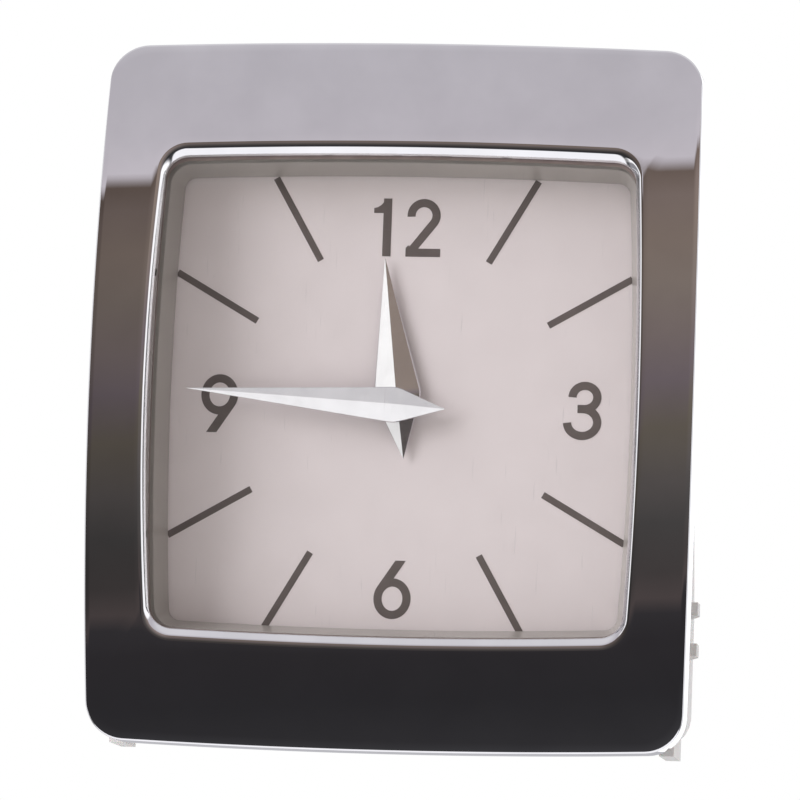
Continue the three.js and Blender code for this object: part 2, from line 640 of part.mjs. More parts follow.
/** Outline of a spur gear; the first tooth's centre points along phase, in radians. */
function gearOutline(teeth, module, phase) {
  const pitchR = (module * teeth) / 2;
  const baseR = pitchR * Math.cos(PRESSURE_ANGLE);
  const rootR = pitchR - DEDENDUM * module;
  const tipR = pitchR + ADDENDUM * module;
  const startR = Math.max(baseR, rootR);
  const halfAtPitch = (TOOTH_WIDTH * module) / (2 * pitchR);
  const halfAt = (radius) => (
    halfAtPitch + involute(PRESSURE_ANGLE) - involute(Math.acos(Math.min(1, baseR / radius))));
  const flank = [[rootR, halfAt(startR)]];
  if (startR > rootR) {
    flank.push([startR, halfAt(startR)]);
  }
  if (teeth < FINE_TEETH) {
    flank.push([pitchR, halfAt(pitchR)]);
  }
  flank.push([tipR, halfAt(tipR)]);
  const points = [];
  for (let tooth = 0; tooth < teeth; tooth++) {
    const centre = phase + (2 * Math.PI * tooth) / teeth;
    const rising = flank.map(([radius, half]) => [radius, centre - half]);
    const falling = flank.map(([radius, half]) => [radius, centre + half]).reverse();
    [...rising, ...falling].forEach(([radius, angle]) => {
      points.push(new THREE.Vector2(radius * Math.cos(angle), radius * Math.sin(angle)));
    });
  }
  return points;
}

/** A spur gear between two depths, on its axis, with a round bore if one is given. */
function gear(teeth, module, phase, front, back, at, bore = 0) {
  const holes = bore > 0 ? [{ x: 0, z: 0, radius: bore, sides: SIDES.round }] : [];
  return plate(gearOutline(teeth, module, phase), front, back, holes).translate(at.x, 0, at.z);
}

/** Phases that put a tooth of the first gear into a gap of the second, along their bearing. */
function meshPhases(bearing, secondTeeth) {
  const angle = THREE.MathUtils.degToRad(bearing);
  return { first: angle, second: angle + Math.PI + Math.PI / secondTeeth };
}

const motionMesh = meshPhases(MOTION_BEARING, TEETH.motionWheel);
const hourMesh = meshPhases(MOTION_BEARING + 180, TEETH.hourWheel);
const centreMesh = meshPhases(SECOND_BEARING, TEETH.secondPinion);
const rotorMesh = meshPhases(ROTOR_BEARING, TEETH.rotorPinion);

// Minute arbor: the long shaft with the pinion that drives the motion work
const minuteRod = rod(MINUTE_SHAFT_R, shaftFront, BACK_PLATE_END - SEAT_GAP);
const minutePinion = gear(TEETH.minutePinion, MOTION_MODULE, motionMesh.first,
  MOTION_WHEEL_Y - PINION_EXTRA, MOTION_WHEEL_Y + WHEEL_THICKNESS + PINION_EXTRA, CENTRE_AXIS);
piece('minute_arbor', carve(minuteRod, { add: [minutePinion] }), STEEL);
piece('centre_wheel', gear(TEETH.centreWheel, CENTRE_MODULE, centreMesh.first,
  CENTRE_WHEEL_Y, CENTRE_WHEEL_Y + WHEEL_THICKNESS, CENTRE_AXIS, MINUTE_SHAFT_R + RUN_GAP), BRASS);

// Hour wheel: the pipe carries the hour hand and turns on the minute arbor
const pipeFront = HOUR_HAND_Y - PIPE_REACH;
const hourBore = rod(MINUTE_SHAFT_R + RUN_GAP, pipeFront - PAST,
  HOUR_WHEEL_Y + WHEEL_THICKNESS + PAST);
const hourGear = gear(TEETH.hourWheel, MOTION_MODULE, hourMesh.second,
  HOUR_WHEEL_Y, HOUR_WHEEL_Y + WHEEL_THICKNESS, CENTRE_AXIS);
const hourPipe = rod(PIPE_R, pipeFront, HOUR_WHEEL_Y + WHEEL_THICKNESS / 2);
piece('hour_wheel', carve(hourGear, { add: [hourPipe], cut: [hourBore] }), GEAR_PLASTIC);

// Motion wheel: one moulding, wheel behind pinion, turning on a stud of the front plate
const motionFront = HOUR_WHEEL_Y - PINION_EXTRA;
const motionBack = MOTION_WHEEL_Y + WHEEL_THICKNESS;
const motionGear = gear(TEETH.motionWheel, MOTION_MODULE, motionMesh.second,
  MOTION_WHEEL_Y, motionBack, MOTION_AXIS);
const motionPinion = gear(TEETH.motionPinion, MOTION_MODULE, hourMesh.first,
  motionFront, MOTION_WHEEL_Y + WHEEL_THICKNESS / 2, MOTION_AXIS);
const motionBore = rod(MOTION_STUD_R + RUN_GAP, motionFront - PAST, motionBack + PAST, MOTION_AXIS);
piece('motion_wheel', carve(motionGear, { add: [motionPinion], cut: [motionBore] }), GEAR_PLASTIC);

// Second wheel: pinion in front drives the centre wheel, wheel behind is driven by the rotor
const arborFront = FRONT_PLATE_Y + SEAT_GAP;
const arborBack = BACK_PLATE_END - SEAT_GAP;
const secondGear = gear(TEETH.secondWheel, SECOND_MODULE, rotorMesh.first,
  SECOND_WHEEL_Y, SECOND_WHEEL_Y + WHEEL_THICKNESS, SECOND_AXIS);
const secondPinion = gear(TEETH.secondPinion, CENTRE_MODULE, centreMesh.second,
  CENTRE_WHEEL_Y - PINION_EXTRA, SECOND_WHEEL_Y + WHEEL_THICKNESS / 2, SECOND_AXIS);
const secondArbor = rod(SECOND_ARBOR_R, arborFront, arborBack, SECOND_AXIS, SIDES.shaft);
piece('second_wheel', carve(secondGear, { add: [secondPinion, secondArbor] }), GEAR_PLASTIC);

// Rotor: pinion and arbor in one, with the magnet on its back end
const rotorGear = gear(TEETH.rotorPinion, SECOND_MODULE, rotorMesh.second,
  SECOND_WHEEL_Y - PINION_EXTRA, SECOND_WHEEL_Y + WHEEL_THICKNESS + PINION_EXTRA, ROTOR_AXIS);
const rotorArbor = rod(ROTOR_ARBOR_R, arborFront, arborBack, ROTOR_AXIS, SIDES.shaft);
piece('rotor_pinion', carve(rotorGear, { add: [rotorArbor] }), STEEL);
const magnetBack = MAGNET_Y + MAGNET_THICKNESS;
const magnetBore = rod(ROTOR_ARBOR_R + RUN_GAP, MAGNET_Y - PAST, magnetBack + PAST, ROTOR_AXIS,
  SIDES.shaft);
piece('rotor_magnet', carve(rod(MAGNET_R, MAGNET_Y, magnetBack, ROTOR_AXIS, SIDES.hole),
  { cut: [magnetBore] }), MAGNET);

// ---------------------------------------------------------------- movement plates and motor

const PILLARS = [-1, 1].flatMap((sx) => [-1, 1].map((sz) => ({
  x: sx * (PLATE.width / 2 - PILLAR_INSET),
  z: PLATE.raise + sz * (PLATE.height / 2 - PILLAR_INSET),
})));
// Two pillars on a diagonal take screws; the other two end in locating pins
const SCREW_PILLARS = [PILLARS[0], PILLARS[3]];
const PIN_PILLARS = [PILLARS[1], PILLARS[2]];
const PIN_R = 0.8;

/** Front plate of the movement, with its pillars, locating pins and the motion wheel's stud. */
function buildFrontPlate() {
  const holes = [
    { ...CENTRE_AXIS, radius: CENTRE_HOLE_R },
    { ...SECOND_AXIS, radius: SECOND_ARBOR_R + RUN_GAP },
    { ...ROTOR_AXIS, radius: ROTOR_ARBOR_R + RUN_GAP },
  ];
  const base = plate(outline(PLATE), FRONT_PLATE_Y, TRAIN_Y, holes);
  const pillars = PILLARS.map((at) => rod(PILLAR_R, TRAIN_Y - FUSE, BACK_PLATE_Y - SEAT_GAP, at));
  const pins = PIN_PILLARS.map((at) => rod(PIN_R, TRAIN_Y, BACK_PLATE_END, at, SIDES.shaft));
  const stud = rod(MOTION_STUD_R, TRAIN_Y - FUSE, MOTION_WHEEL_Y + WHEEL_THICKNESS, MOTION_AXIS);
  const pilots = SCREW_PILLARS.map((at) => (
    rod(BOARD_SCREW_R + RUN_GAP, TRAIN_Y + LEVEL_GAP, BACK_PLATE_Y + PAST, at, SIDES.shaft)));
  return carve(base, { add: [...pillars, ...pins, stud], cut: pilots });
}

/** Back plate of the movement, with a bearing hole for every arbor. */
function buildBackPlate() {
  const holes = [
    { ...CENTRE_AXIS, radius: MINUTE_SHAFT_R + RUN_GAP },
    { ...SECOND_AXIS, radius: SECOND_ARBOR_R + RUN_GAP },
    { ...ROTOR_AXIS, radius: ROTOR_ARBOR_R + RUN_GAP },
    ...SCREW_PILLARS.map((at) => ({ ...at, radius: BOARD_SCREW_R + SEAT_GAP })),
    ...PIN_PILLARS.map((at) => ({ ...at, radius: PIN_R + SEAT_GAP })),
  ];
  return plate(outline(PLATE), BACK_PLATE_Y, BACK_PLATE_END, holes);
}

piece('movement_front_plate', buildFrontPlate(), WHITE_PLASTIC);
piece('movement_back_plate', buildBackPlate(), WHITE_PLASTIC);

const CORE_Z = ROTOR_AXIS.z - CORE_DROP;
const STATOR_Y = MAGNET_Y + (MAGNET_THICKNESS - STATOR_THICKNESS) / 2;
const CORE_BACK_Y = STATOR_Y - SEAT_GAP;
const CORE_Y = CORE_BACK_Y - CORE.thickness;

/** Stator: a flat iron yoke round the rotor, with an arm down to each end of the coil's core. */
function buildStator() {
  const left = ROTOR_AXIS.x - STATOR_LENGTH / 2;
  const right = ROTOR_AXIS.x + STATOR_LENGTH / 2;
  const top = ROTOR_AXIS.z + STATOR_WIDTH / 2;
  const under = ROTOR_AXIS.z - STATOR_WIDTH / 2;
  const foot = CORE_Z - CORE.width / 2;
  const points = [[left, top], [left, foot], [left + STATOR_ARM, foot], [left + STATOR_ARM, under],
    [right - STATOR_ARM, under], [right - STATOR_ARM, foot], [right, foot], [right, top]];
  const hole = { ...ROTOR_AXIS, radius: MAGNET_R + STATOR_HOLE_GAP };
  const yoke = points.map(([x, z]) => new THREE.Vector2(x, z));
  return plate(yoke, STATOR_Y, STATOR_Y + STATOR_THICKNESS, [hole]);
}

/** A rectangular sleeve round the coil's core, between two stations along it. */
function sleeve(x0, x1, width, depth, innerWidth, innerDepth) {
  const middle = (CORE_Y + CORE_BACK_Y) / 2;
  const outer = block([x0, middle - depth / 2, CORE_Z - width / 2],
    [x1, middle + depth / 2, CORE_Z + width / 2]);
  const inner = block([x0 - PAST, middle - innerDepth / 2, CORE_Z - innerWidth / 2],
    [x1 + PAST, middle + innerDepth / 2, CORE_Z + innerWidth / 2]);
  return carve(outer, { cut: [inner] });
}

const coilX = ROTOR_AXIS.x;
const coreHoleWidth = CORE.width + 2 * SEAT_GAP;
const coreHoleDepth = CORE.thickness + 2 * SEAT_GAP;
const tubeWidth = coreHoleWidth + 2 * BOBBIN.wall;
const tubeDepth = coreHoleDepth + 2 * BOBBIN.wall;

/** Bobbin: a thin tube on the core with a flange at each end. */
function buildBobbin() {
  const ends = [-1, 1].map((side) => {
    const outer = coilX + (side * BOBBIN.length) / 2;
    const xs = [outer, outer - side * BOBBIN.flange].sort((a, b) => a - b);
    return sleeve(...xs, BOBBIN.flangeWidth, BOBBIN.flangeDepth, coreHoleWidth, coreHoleDepth);
  });
  const tube = sleeve(coilX - BOBBIN.length / 2, coilX + BOBBIN.length / 2,
    tubeWidth, tubeDepth, coreHoleWidth, coreHoleDepth);
  return carve(tube, { add: ends });
}

const windingHalf = BOBBIN.length / 2 - BOBBIN.flange - SEAT_GAP;
piece('stator', buildStator(), STEEL);
piece('coil_core', block([coilX - STATOR_LENGTH / 2, CORE_Y, CORE_Z - CORE.width / 2],
  [coilX + STATOR_LENGTH / 2, CORE_BACK_Y, CORE_Z + CORE.width / 2]), STEEL);
piece('coil_bobbin', buildBobbin(), BLACK_PLASTIC);
piece('coil_winding', sleeve(coilX - windingHalf, coilX + windingHalf,
  BOBBIN.flangeWidth - 2 * WINDING_INSET, BOBBIN.flangeDepth - 2 * WINDING_INSET,
  tubeWidth + 2 * RUN_GAP, tubeDepth + 2 * RUN_GAP), COPPER);

// ---------------------------------------------------------------- circuit board

/** Places of the connector's pins. */
const PINS = Array.from({ length: PIN.count }, (_, i) => ({
  x: CONNECTOR_AXIS.x + (i - (PIN.count - 1) / 2) * PIN.pitch, z: CONNECTOR_AXIS.z }));
const pinHoleR = PIN.size / Math.SQRT2 + SEAT_GAP;

const boardHoles = [
  ...SCREW_PILLARS.map((at) => ({ ...at, radius: BOARD_SCREW_R + SEAT_GAP })),
  ...BOARD_SCREWS.map((at) => ({ ...at, radius: BOARD_SCREW_R + SEAT_GAP })),
  ...PINS.map((at) => ({ ...at, radius: pinHoleR, sides: SIDES.pin })),
  { ...CENTRE_AXIS, radius: MINUTE_SHAFT_R + SEAT_GAP },
];
const boardEdge = [
  [BOARD.width, BOARD.top], [-BOARD.width, BOARD.top], [-BOARD.width, BOARD.shoulder],
  [-BOARD.tongue, BOARD.shoulder], [-BOARD.tongue, BOARD.bottom],
  [BOARD.tongue, BOARD.bottom], [BOARD.tongue, BOARD.shoulder], [BOARD.width, BOARD.shoulder],
].map(([span, z]) => new THREE.Vector2(span / 2, z));
piece('circuit_board', plate(boardEdge, BOARD_Y, BOARD_BACK_Y, boardHoles), BOARD_GREEN);

// Movement screws come from behind, through board and back plate into the pillars
SCREW_PILLARS.forEach((at, i) => {
  const tip = TRAIN_Y + 2 * LEVEL_GAP;
  piece(`movement_screw_${i + 1}`, screw(at, PART_BACK_Y, tip,
    BOARD_SCREW_R, BOARD_SCREW_HEAD_R, BOARD_SCREW_HEAD), STEEL);
});

// Board screws come from in front, into posts on the housing's back wall
BOARD_SCREWS.forEach((at, i) => {
  const tip = housingBack(at.z) - HOUSING_WALL / 2 - SEAT_GAP;
  const seat = BOARD_Y - RUN_GAP;
  const geometry = screw(CENTRE_AXIS, 0, seat - tip,
    BOARD_SCREW_R, BOARD_SCREW_HEAD_R, BOARD_SCREW_HEAD);
  piece(`board_screw_${i + 1}`, geometry.rotateZ(Math.PI).translate(at.x, seat, at.z), STEEL);
});

const partFace = BOARD_Y - RUN_GAP;
LED.xs.forEach((x, i) => LED.zs.forEach((z, j) => {
  const low = [x - LED.size / 2, partFace - LED.height, z - LED.size / 2];
  const high = [x + LED.size / 2, partFace, z + LED.size / 2];
  piece(`led_${i * LED.zs.length + j + 1}`, block(low, high), LED_WHITE);
}));
piece('driver_chip', block([CHIP.x - CHIP.size / 2, PART_BACK_Y, CHIP.z - CHIP.size / 2],
  [CHIP.x + CHIP.size / 2, PART_BACK_Y + CHIP.height, CHIP.z + CHIP.size / 2]), BLACK_PLASTIC);
const crystal = new THREE.CylinderGeometry(
  CRYSTAL.radius, CRYSTAL.radius, CRYSTAL.length, SIDES.shaft);
piece('quartz_crystal', crystal.rotateX(Math.PI / 2)
  .translate(CRYSTAL.x, partFace - CRYSTAL.radius, CRYSTAL.z), STEEL);
[0, 1].forEach((i) => {
  const at = {
    x: POST_R - SCREW_X + CAPACITOR.postGap + CAPACITOR.radius + i * CAPACITOR.pitch,
    z: BOARD.bottom + CAPACITOR.rise + CAPACITOR.radius,
  };
  const can = rod(CAPACITOR.radius, PART_BACK_Y, PART_BACK_Y + CAPACITOR.height, at);
  piece(`capacitor_${i + 1}`, can, BLACK_PLASTIC);
});

/** Connector shell: a box open to the rear, with a hole in its floor for each pin. */
function buildConnector() {
  const back = LOWER_BACK + CONNECTOR.stands;
  const floor = PART_BACK_Y + CONNECTOR.floor;
  const { wall } = CONNECTOR;
  const outer = block([CONNECTOR_LOW[0], PART_BACK_Y, CONNECTOR_LOW[1]],
    [CONNECTOR_HIGH[0], back, CONNECTOR_HIGH[1]]);
  const socket = block([CONNECTOR_LOW[0] + wall, floor, CONNECTOR_LOW[1] + wall],
    [CONNECTOR_HIGH[0] - wall, back + PAST, CONNECTOR_HIGH[1] - wall]);
  const holes = PINS.map((at) => rod(pinHoleR, PART_BACK_Y - PAST, floor + PAST, at, SIDES.pin));
  return carve(outer, { cut: [socket, ...holes] });
}

piece('connector_shell', buildConnector(), BLACK_PLASTIC);
PINS.forEach((at, i) => {
  const tail = BOARD_Y - PIN.tailLength;
  const tip = PART_BACK_Y + CONNECTOR.floor + PIN.reach;
  piece(`connector_pin_${i + 1}`, block([at.x - PIN.size / 2, tail, at.z - PIN.size / 2],
    [at.x + PIN.size / 2, tip, at.z + PIN.size / 2]), BRASS);
});

export default clock;
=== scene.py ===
"""Looks of a dashboard clock: chrome frame, pale dial with two faceted hands, white rear housing.

Metres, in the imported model's own frame: +X is the viewer's right, +Z up, the dial faces -Y.
Sizes in the classes are millimetres and pass through MM once.
"""

import json
import logging
import math
from dataclasses import dataclass, replace
from enum import Enum
from typing import Any, Callable, Sequence

import bmesh
import bpy
from mathutils import Matrix, Vector


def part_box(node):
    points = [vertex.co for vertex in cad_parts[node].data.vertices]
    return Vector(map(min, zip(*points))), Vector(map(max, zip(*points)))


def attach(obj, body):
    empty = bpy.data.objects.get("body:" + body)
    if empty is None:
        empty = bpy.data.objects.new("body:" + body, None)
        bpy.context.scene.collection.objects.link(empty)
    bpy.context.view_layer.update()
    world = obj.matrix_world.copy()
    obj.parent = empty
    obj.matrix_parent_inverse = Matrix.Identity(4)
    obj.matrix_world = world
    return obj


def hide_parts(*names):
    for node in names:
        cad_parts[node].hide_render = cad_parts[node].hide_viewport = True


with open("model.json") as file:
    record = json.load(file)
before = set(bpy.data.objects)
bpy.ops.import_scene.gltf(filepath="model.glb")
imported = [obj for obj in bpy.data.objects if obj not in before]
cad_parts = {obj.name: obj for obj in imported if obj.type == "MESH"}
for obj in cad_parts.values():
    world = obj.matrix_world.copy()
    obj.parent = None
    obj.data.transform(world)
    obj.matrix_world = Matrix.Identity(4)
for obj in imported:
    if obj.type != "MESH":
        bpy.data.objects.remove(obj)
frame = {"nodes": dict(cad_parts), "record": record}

LOG = logging.getLogger("clock")
MM = 0.001
Point = tuple[float, float]  # across and up, in millimetres
Piece, Material = bpy.types.Object, bpy.types.Material
Tree, Node, Socket = bpy.types.NodeTree, bpy.types.Node, bpy.types.NodeSocket


class Body(Enum):
    """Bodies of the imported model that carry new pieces."""

    CASE = "case"
    MINUTE = "minute_train"
    HOUR = "hour_train"


# ------------------------------------------------------------------ outlines


@dataclass(frozen=True)
class Outline:
    """A rounded rectangle with bowed sides, in millimetres."""

    width: float
    height: float
    corner: float
    side_bow: float = 0.0
    end_bow: float = 0.0
    lift: float = 0.0

    def grown(self, out: float, up: float) -> "Outline":
        """The same form made larger.

        Args:
            out: Growth at the left and right.
            up: Growth at the top and bottom.

        Returns:
            A new outline with its corners kept in step.
        """
        return replace(
            self,
            width=self.width + 2 * out,
            height=self.height + 2 * up,
            corner=self.corner + min(out, up),
        )

    def points(self, side_steps: int = 28, corner_steps: int = 12) -> list[Vector]:
        """Points round the outline, anticlockwise for the viewer.

        Args:
            side_steps: Steps along each bowed side.
            corner_steps: Steps round each corner.

        Returns:
            Points (x, z) in millimetres.
        """
        core = Vector((self.width / 2 - self.corner, self.height / 2 - self.corner))
        sides = []
        for turn in range(4):
            angle = turn * math.pi / 2
            out = Vector((round(math.cos(angle)), round(math.sin(angle))))
            upright = turn % 2 == 0
            reach = core.x if upright else core.y
            along = core.y - self.end_bow if upright else core.x - self.side_bow
            bow = self.side_bow if upright else self.end_bow
            sides.append((out, Vector((-out.y, out.x)), reach, bow, along))

        def normal(side: tuple, t: float) -> Vector:
            """Outward normal of a side's core curve at t."""
            out, tangent, _, bow, along = side
            return (out + tangent * (2 * bow * t / along)).normalized()

        def core_point(side: tuple, t: float) -> Vector:
            """Point of a side's core curve at t."""
            out, tangent, reach, bow, along = side
            return out * (reach - bow * t * t) + tangent * (along * t)

        points = []
        for index, side in enumerate(sides):
            for i in range(side_steps + 1):
                t = 2 * i / side_steps - 1
                points.append(core_point(side, t) + normal(side, t) * self.corner)
            start = normal(side, 1)
            end = normal(sides[(index + 1) % 4], -1)
            sweep = math.acos(max(-1.0, min(1.0, start.dot(end))))
            for i in range(1, corner_steps):
                arc = start.copy()
                arc.rotate(Matrix.Rotation(sweep * i / corner_steps, 2))
                points.append(core_point(side, 1) + arc * self.corner)
        return [Vector((p.x, p.y + self.lift)) for p in points]


def loop_at(points: Sequence[Vector], depth: Callable[[float], float]) -> list[Vector]:
    """Sets an outline at a depth that may change with height, in metres."""
    return [Vector((p.x, depth(p.y), p.y)) * MM for p in points]


# ------------------------------------------------------------------ modelling


def select_only(obj: Piece) -> None:
    """Makes one object the selected and active one."""
    bpy.ops.object.select_all(action="DESELECT")
    obj.select_set(True)
    bpy.context.view_layer.objects.active = obj


def loft(
    name: str, loops: Sequence[Sequence[Vector]], closed: bool = False, ridged: bool = False
) -> Piece:
    """Extrudes a circle's vertices from loop to loop.

    Args:
        name: Name of the new piece.
        loops: Loops of equal length, in metres.
        closed: Joins the last loop to the first instead of capping both.
        ridged: The last loop folds onto itself as a ridge and needs no cap.

    Returns:
        The new object, at the origin with its place in its mesh.
    """
    count = len(loops[0])
    bpy.ops.object.select_all(action="DESELECT")
    bpy.ops.mesh.primitive_circle_add(vertices=count, radius=MM)
    obj = bpy.context.active_object
    obj.name = name
    obj.data.name = name
    bpy.ops.object.mode_set(mode="EDIT")
    bpy.ops.mesh.select_mode(type="EDGE")
    bpy.ops.mesh.select_all(action="SELECT")
    for row, loop in enumerate(loops):
        if row:
            bpy.ops.mesh.extrude_region()
        mesh = bmesh.from_edit_mesh(obj.data)
        mesh.verts.ensure_lookup_table()
        for i, place in enumerate(loop):
            mesh.verts[row * count + i].co = place
        bmesh.update_edit_mesh(obj.data)
    mesh = bmesh.from_edit_mesh(obj.data)
    mesh.verts.index_update()
    ends = (set(range(count)), set(range((len(loops) - 1) * count, len(loops) * count)))
    for chosen in [ends[0] | ends[1]] if closed else ends[: 1 if ridged else 2]:
        bpy.ops.mesh.select_all(action="DESELECT")
        mesh = bmesh.from_edit_mesh(obj.data)
        mesh.edges.ensure_lookup_table()
        for edge in mesh.edges:
            near = [vert.index in chosen for vert in edge.verts]
            edge.select_set(all(near) and edge.is_boundary)
        mesh.select_flush_mode()
        bmesh.update_edit_mesh(obj.data)
        if closed:
            bpy.ops.mesh.bridge_edge_loops()
        else:
            bpy.ops.mesh.edge_face_add()
    bpy.ops.mesh.select_all(action="SELECT")
    bpy.ops.mesh.remove_doubles(threshold=MM * 1e-3)
    bpy.ops.mesh.normals_make_consistent(inside=False)
    bpy.ops.object.mode_set(mode="OBJECT")
    return obj


def smooth(obj: Piece, degrees: float) -> None:
    """Shades a piece smooth, with edges sharper than an angle kept."""
    select_only(obj)
    bpy.ops.object.shade_smooth_by_angle(angle=math.radians(degrees))


def soften(obj: Piece, width: float, segments: int = 2, degrees: float = 14) -> None:
    """Rounds a piece's edges with a bevel and keeps its large faces flat.

    Args:
        obj: The piece.
        width: Bevel width in millimetres.
        segments: Segments of each rounding.
        degrees: Edges sharper than this are rounded.
    """
    select_only(obj)
    bevel = obj.modifiers.new("edge rounding", "BEVEL")
    bevel.width = width * MM
    bevel.segments = segments
    bevel.limit_method = "ANGLE"
    bevel.angle_limit = math.radians(degrees)
    bpy.ops.object.modifier_apply(modifier=bevel.name)
    smooth(obj, 40)
    weigh = obj.modifiers.new("flat faces", "WEIGHTED_NORMAL")
    weigh.keep_sharp = True
    bpy.ops.object.modifier_apply(modifier=weigh.name)


def merge(name: str, parts: Sequence[Piece]) -> Piece:
    """Joins overlapping solids into one skin.

    Args:
        name: Name of the result.
        parts: Closed solids; the first one is kept.

    Returns:
        The merged object.
    """
    base = parts[0]
    for extra in parts[1:]:
        select_only(base)
        union = base.modifiers.new("union", "BOOLEAN")
        union.operation = "UNION"
        union.solver = "EXACT"
        union.object = extra
        bpy.ops.object.modifier_apply(modifier=union.name)
        bpy.data.objects.remove(extra, do_unlink=True)
    base.name = name
    base.data.name = name
    return base


def join(name: str, parts: Sequence[Piece]) -> Piece:
    """Puts separate solids into one object."""
    bpy.ops.object.select_all(action="DESELECT")
    for part in parts:
        part.select_set(True)
    bpy.context.view_layer.objects.active = parts[0]
    bpy.ops.object.join()
    parts[0].name = name
    parts[0].data.name = name
    return parts[0]


def copy_of(node: str, name: str) -> Piece:
    """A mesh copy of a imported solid, merged into clean faces.

    Args:
        node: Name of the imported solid.
        name: Name of the new piece.

    Returns:
        The copy, free of any parent.
    """
    mesh = frame["nodes"][node].data.copy()
    mesh.materials.clear()
    obj = bpy.data.objects.new(name, mesh)
    mesh.name = name
    bpy.context.scene.collection.objects.link(obj)
    select_only(obj)
    bpy.ops.object.mode_set(mode="EDIT")
    bpy.ops.mesh.select_all(action="SELECT")
    bpy.ops.mesh.remove_doubles(threshold=MM * 2e-3)
    bpy.ops.mesh.dissolve_limited(angle_limit=math.radians(1))
    bpy.ops.object.mode_set(mode="OBJECT")
    return obj


def hand_over(
    obj: Piece,
    body: Body,
    material: Material,
    replaced: Sequence[str] = (),
) -> None:
    """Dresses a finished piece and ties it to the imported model.

    Args:
        obj: The piece.
        body: The body it moves with.
        material: Its finish.
        replaced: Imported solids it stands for.
    """
    obj.data.materials.clear()
    obj.data.materials.append(material)
    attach(obj, body.value)
    if replaced:
        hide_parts(*replaced)
    LOG.info("piece %s: %d faces on %s", obj.name, len(obj.data.polygons), body.value)


# ------------------------------------------------------------------ materials


def linear(code: str) -> tuple[float, float, float, float]:
    """Turns an sRGB hex colour into linear RGBA."""
    values = [int(code[i : i + 2], 16) / 255 for i in (1, 3, 5)]
    low = [v / 12.92 if v <= 0.04045 else ((v + 0.055) / 1.055) ** 2.4 for v in values]
    return (low[0], low[1], low[2], 1.0)


def add(tree: Tree, kind: str, **given: Any) -> Node:
    """Adds a node with its settings and links.

    Args:
        tree: The node tree.
        kind: The node's type.
        **given: inputs, a dict of socket to value or linked socket; stops, a ramp's
            (place, colour) pairs; anything else is a property of the node.

    Returns:
        The new node.
    """
    node = tree.nodes.new(kind)
    inputs = given.pop("inputs", {})
    stops = given.pop("stops", ())
    for name, value in given.items():
        setattr(node, name, value)
    for key, value in inputs.items():
        if isinstance(value, Socket):
            tree.links.new(value, node.inputs[key])
        else:
            node.inputs[key].default_value = value
    for i, (place, colour) in enumerate(stops):
        elements = node.color_ramp.elements
        stop = elements[i] if i < 2 else elements.new(place)
        stop.position = place
        stop.color = linear(colour) if isinstance(colour, str) else (colour, colour, colour, 1.0)
    return node


def noise(tree: Tree, place: Socket, size: float, detail: float) -> Socket:
    """Noise with features of a size in millimetres, as a value from 0 to 1."""
    inputs = {"Vector": place, "Scale": 1 / (size * MM), "Detail": detail}
    return add(tree, "ShaderNodeTexNoise", inputs=inputs).outputs["Fac"]


def spread(
    tree: Tree,
    value: Socket,
    low: float,
    high: float,
    to: tuple[float, float] = (0.0, 1.0),
) -> Socket:
    """Maps a value between low and high to a new range.

    Args:
        tree: The node tree.
        value: What is mapped.
        low: The value that becomes the first end of the new range.
        high: The value that becomes the second end.
        to: The new range.

    Returns:
        The mapped value, held inside the new range.
    """
    ends = {"From Min": low, "From Max": high, "To Min": to[0], "To Max": to[1]}
    return add(tree, "ShaderNodeMapRange", inputs={"Value": value, **ends}).outputs["Result"]


def ramp(tree: Tree, value: Socket, stops: Sequence[tuple]) -> Socket:
    """Turns a value into a colour by (place, colour) stops."""
    return add(tree, "ShaderNodeValToRGB", stops=stops, inputs={"Fac": value}).outputs["Color"]


def reckon(tree: Tree, operation: str, *values: Any) -> Socket:
    """A sum, product or other operation on values or sockets."""
    inputs = dict(enumerate(values))
    return add(tree, "ShaderNodeMath", operation=operation, inputs=inputs).outputs["Value"]


def mingle(tree: Tree, how: str, share: Any, one: Any, other: Any) -> Socket:
    """Blends two colours.

    Args:
        tree: The node tree.
        how: The kind of blending.
        share: How much of it, a number or a socket.
        one: The colour it starts from.
        other: The colour that acts on it.

    Returns:
        The blended colour.
    """
    inputs = {0: share, 6: one, 7: other}
    node = add(tree, "ShaderNodeMix", data_type="RGBA", blend_type=how, inputs=inputs)
    return node.outputs[2]


def blend_of(tree: Tree, share: Any, one: Node, other: Node) -> Node:
    """Mixes two shaders; share is how much of the other one shows."""
    inputs = {0: share, 1: one.outputs[0], 2: other.outputs[0]}
    return add(tree, "ShaderNodeMixShader", inputs=inputs)


def roughened(tree: Tree, texture: Socket, relief: float) -> Socket:
    """A normal that follows a texture's relief, its height in millimetres."""
    inputs = {"Height": texture, "Strength": 1.0, "Distance": relief * MM}
    return add(tree, "ShaderNodeBump", inputs=inputs).outputs["Normal"]


def start(name: str) -> tuple[Material, Tree, Socket]:
    """A new material, its empty tree and its object coordinates."""
    material = bpy.data.materials.new(name)
    material.use_nodes = True
    tree = material.node_tree
    tree.nodes.clear()
    return material, tree, add(tree, "ShaderNodeTexCoord").outputs["Object"]


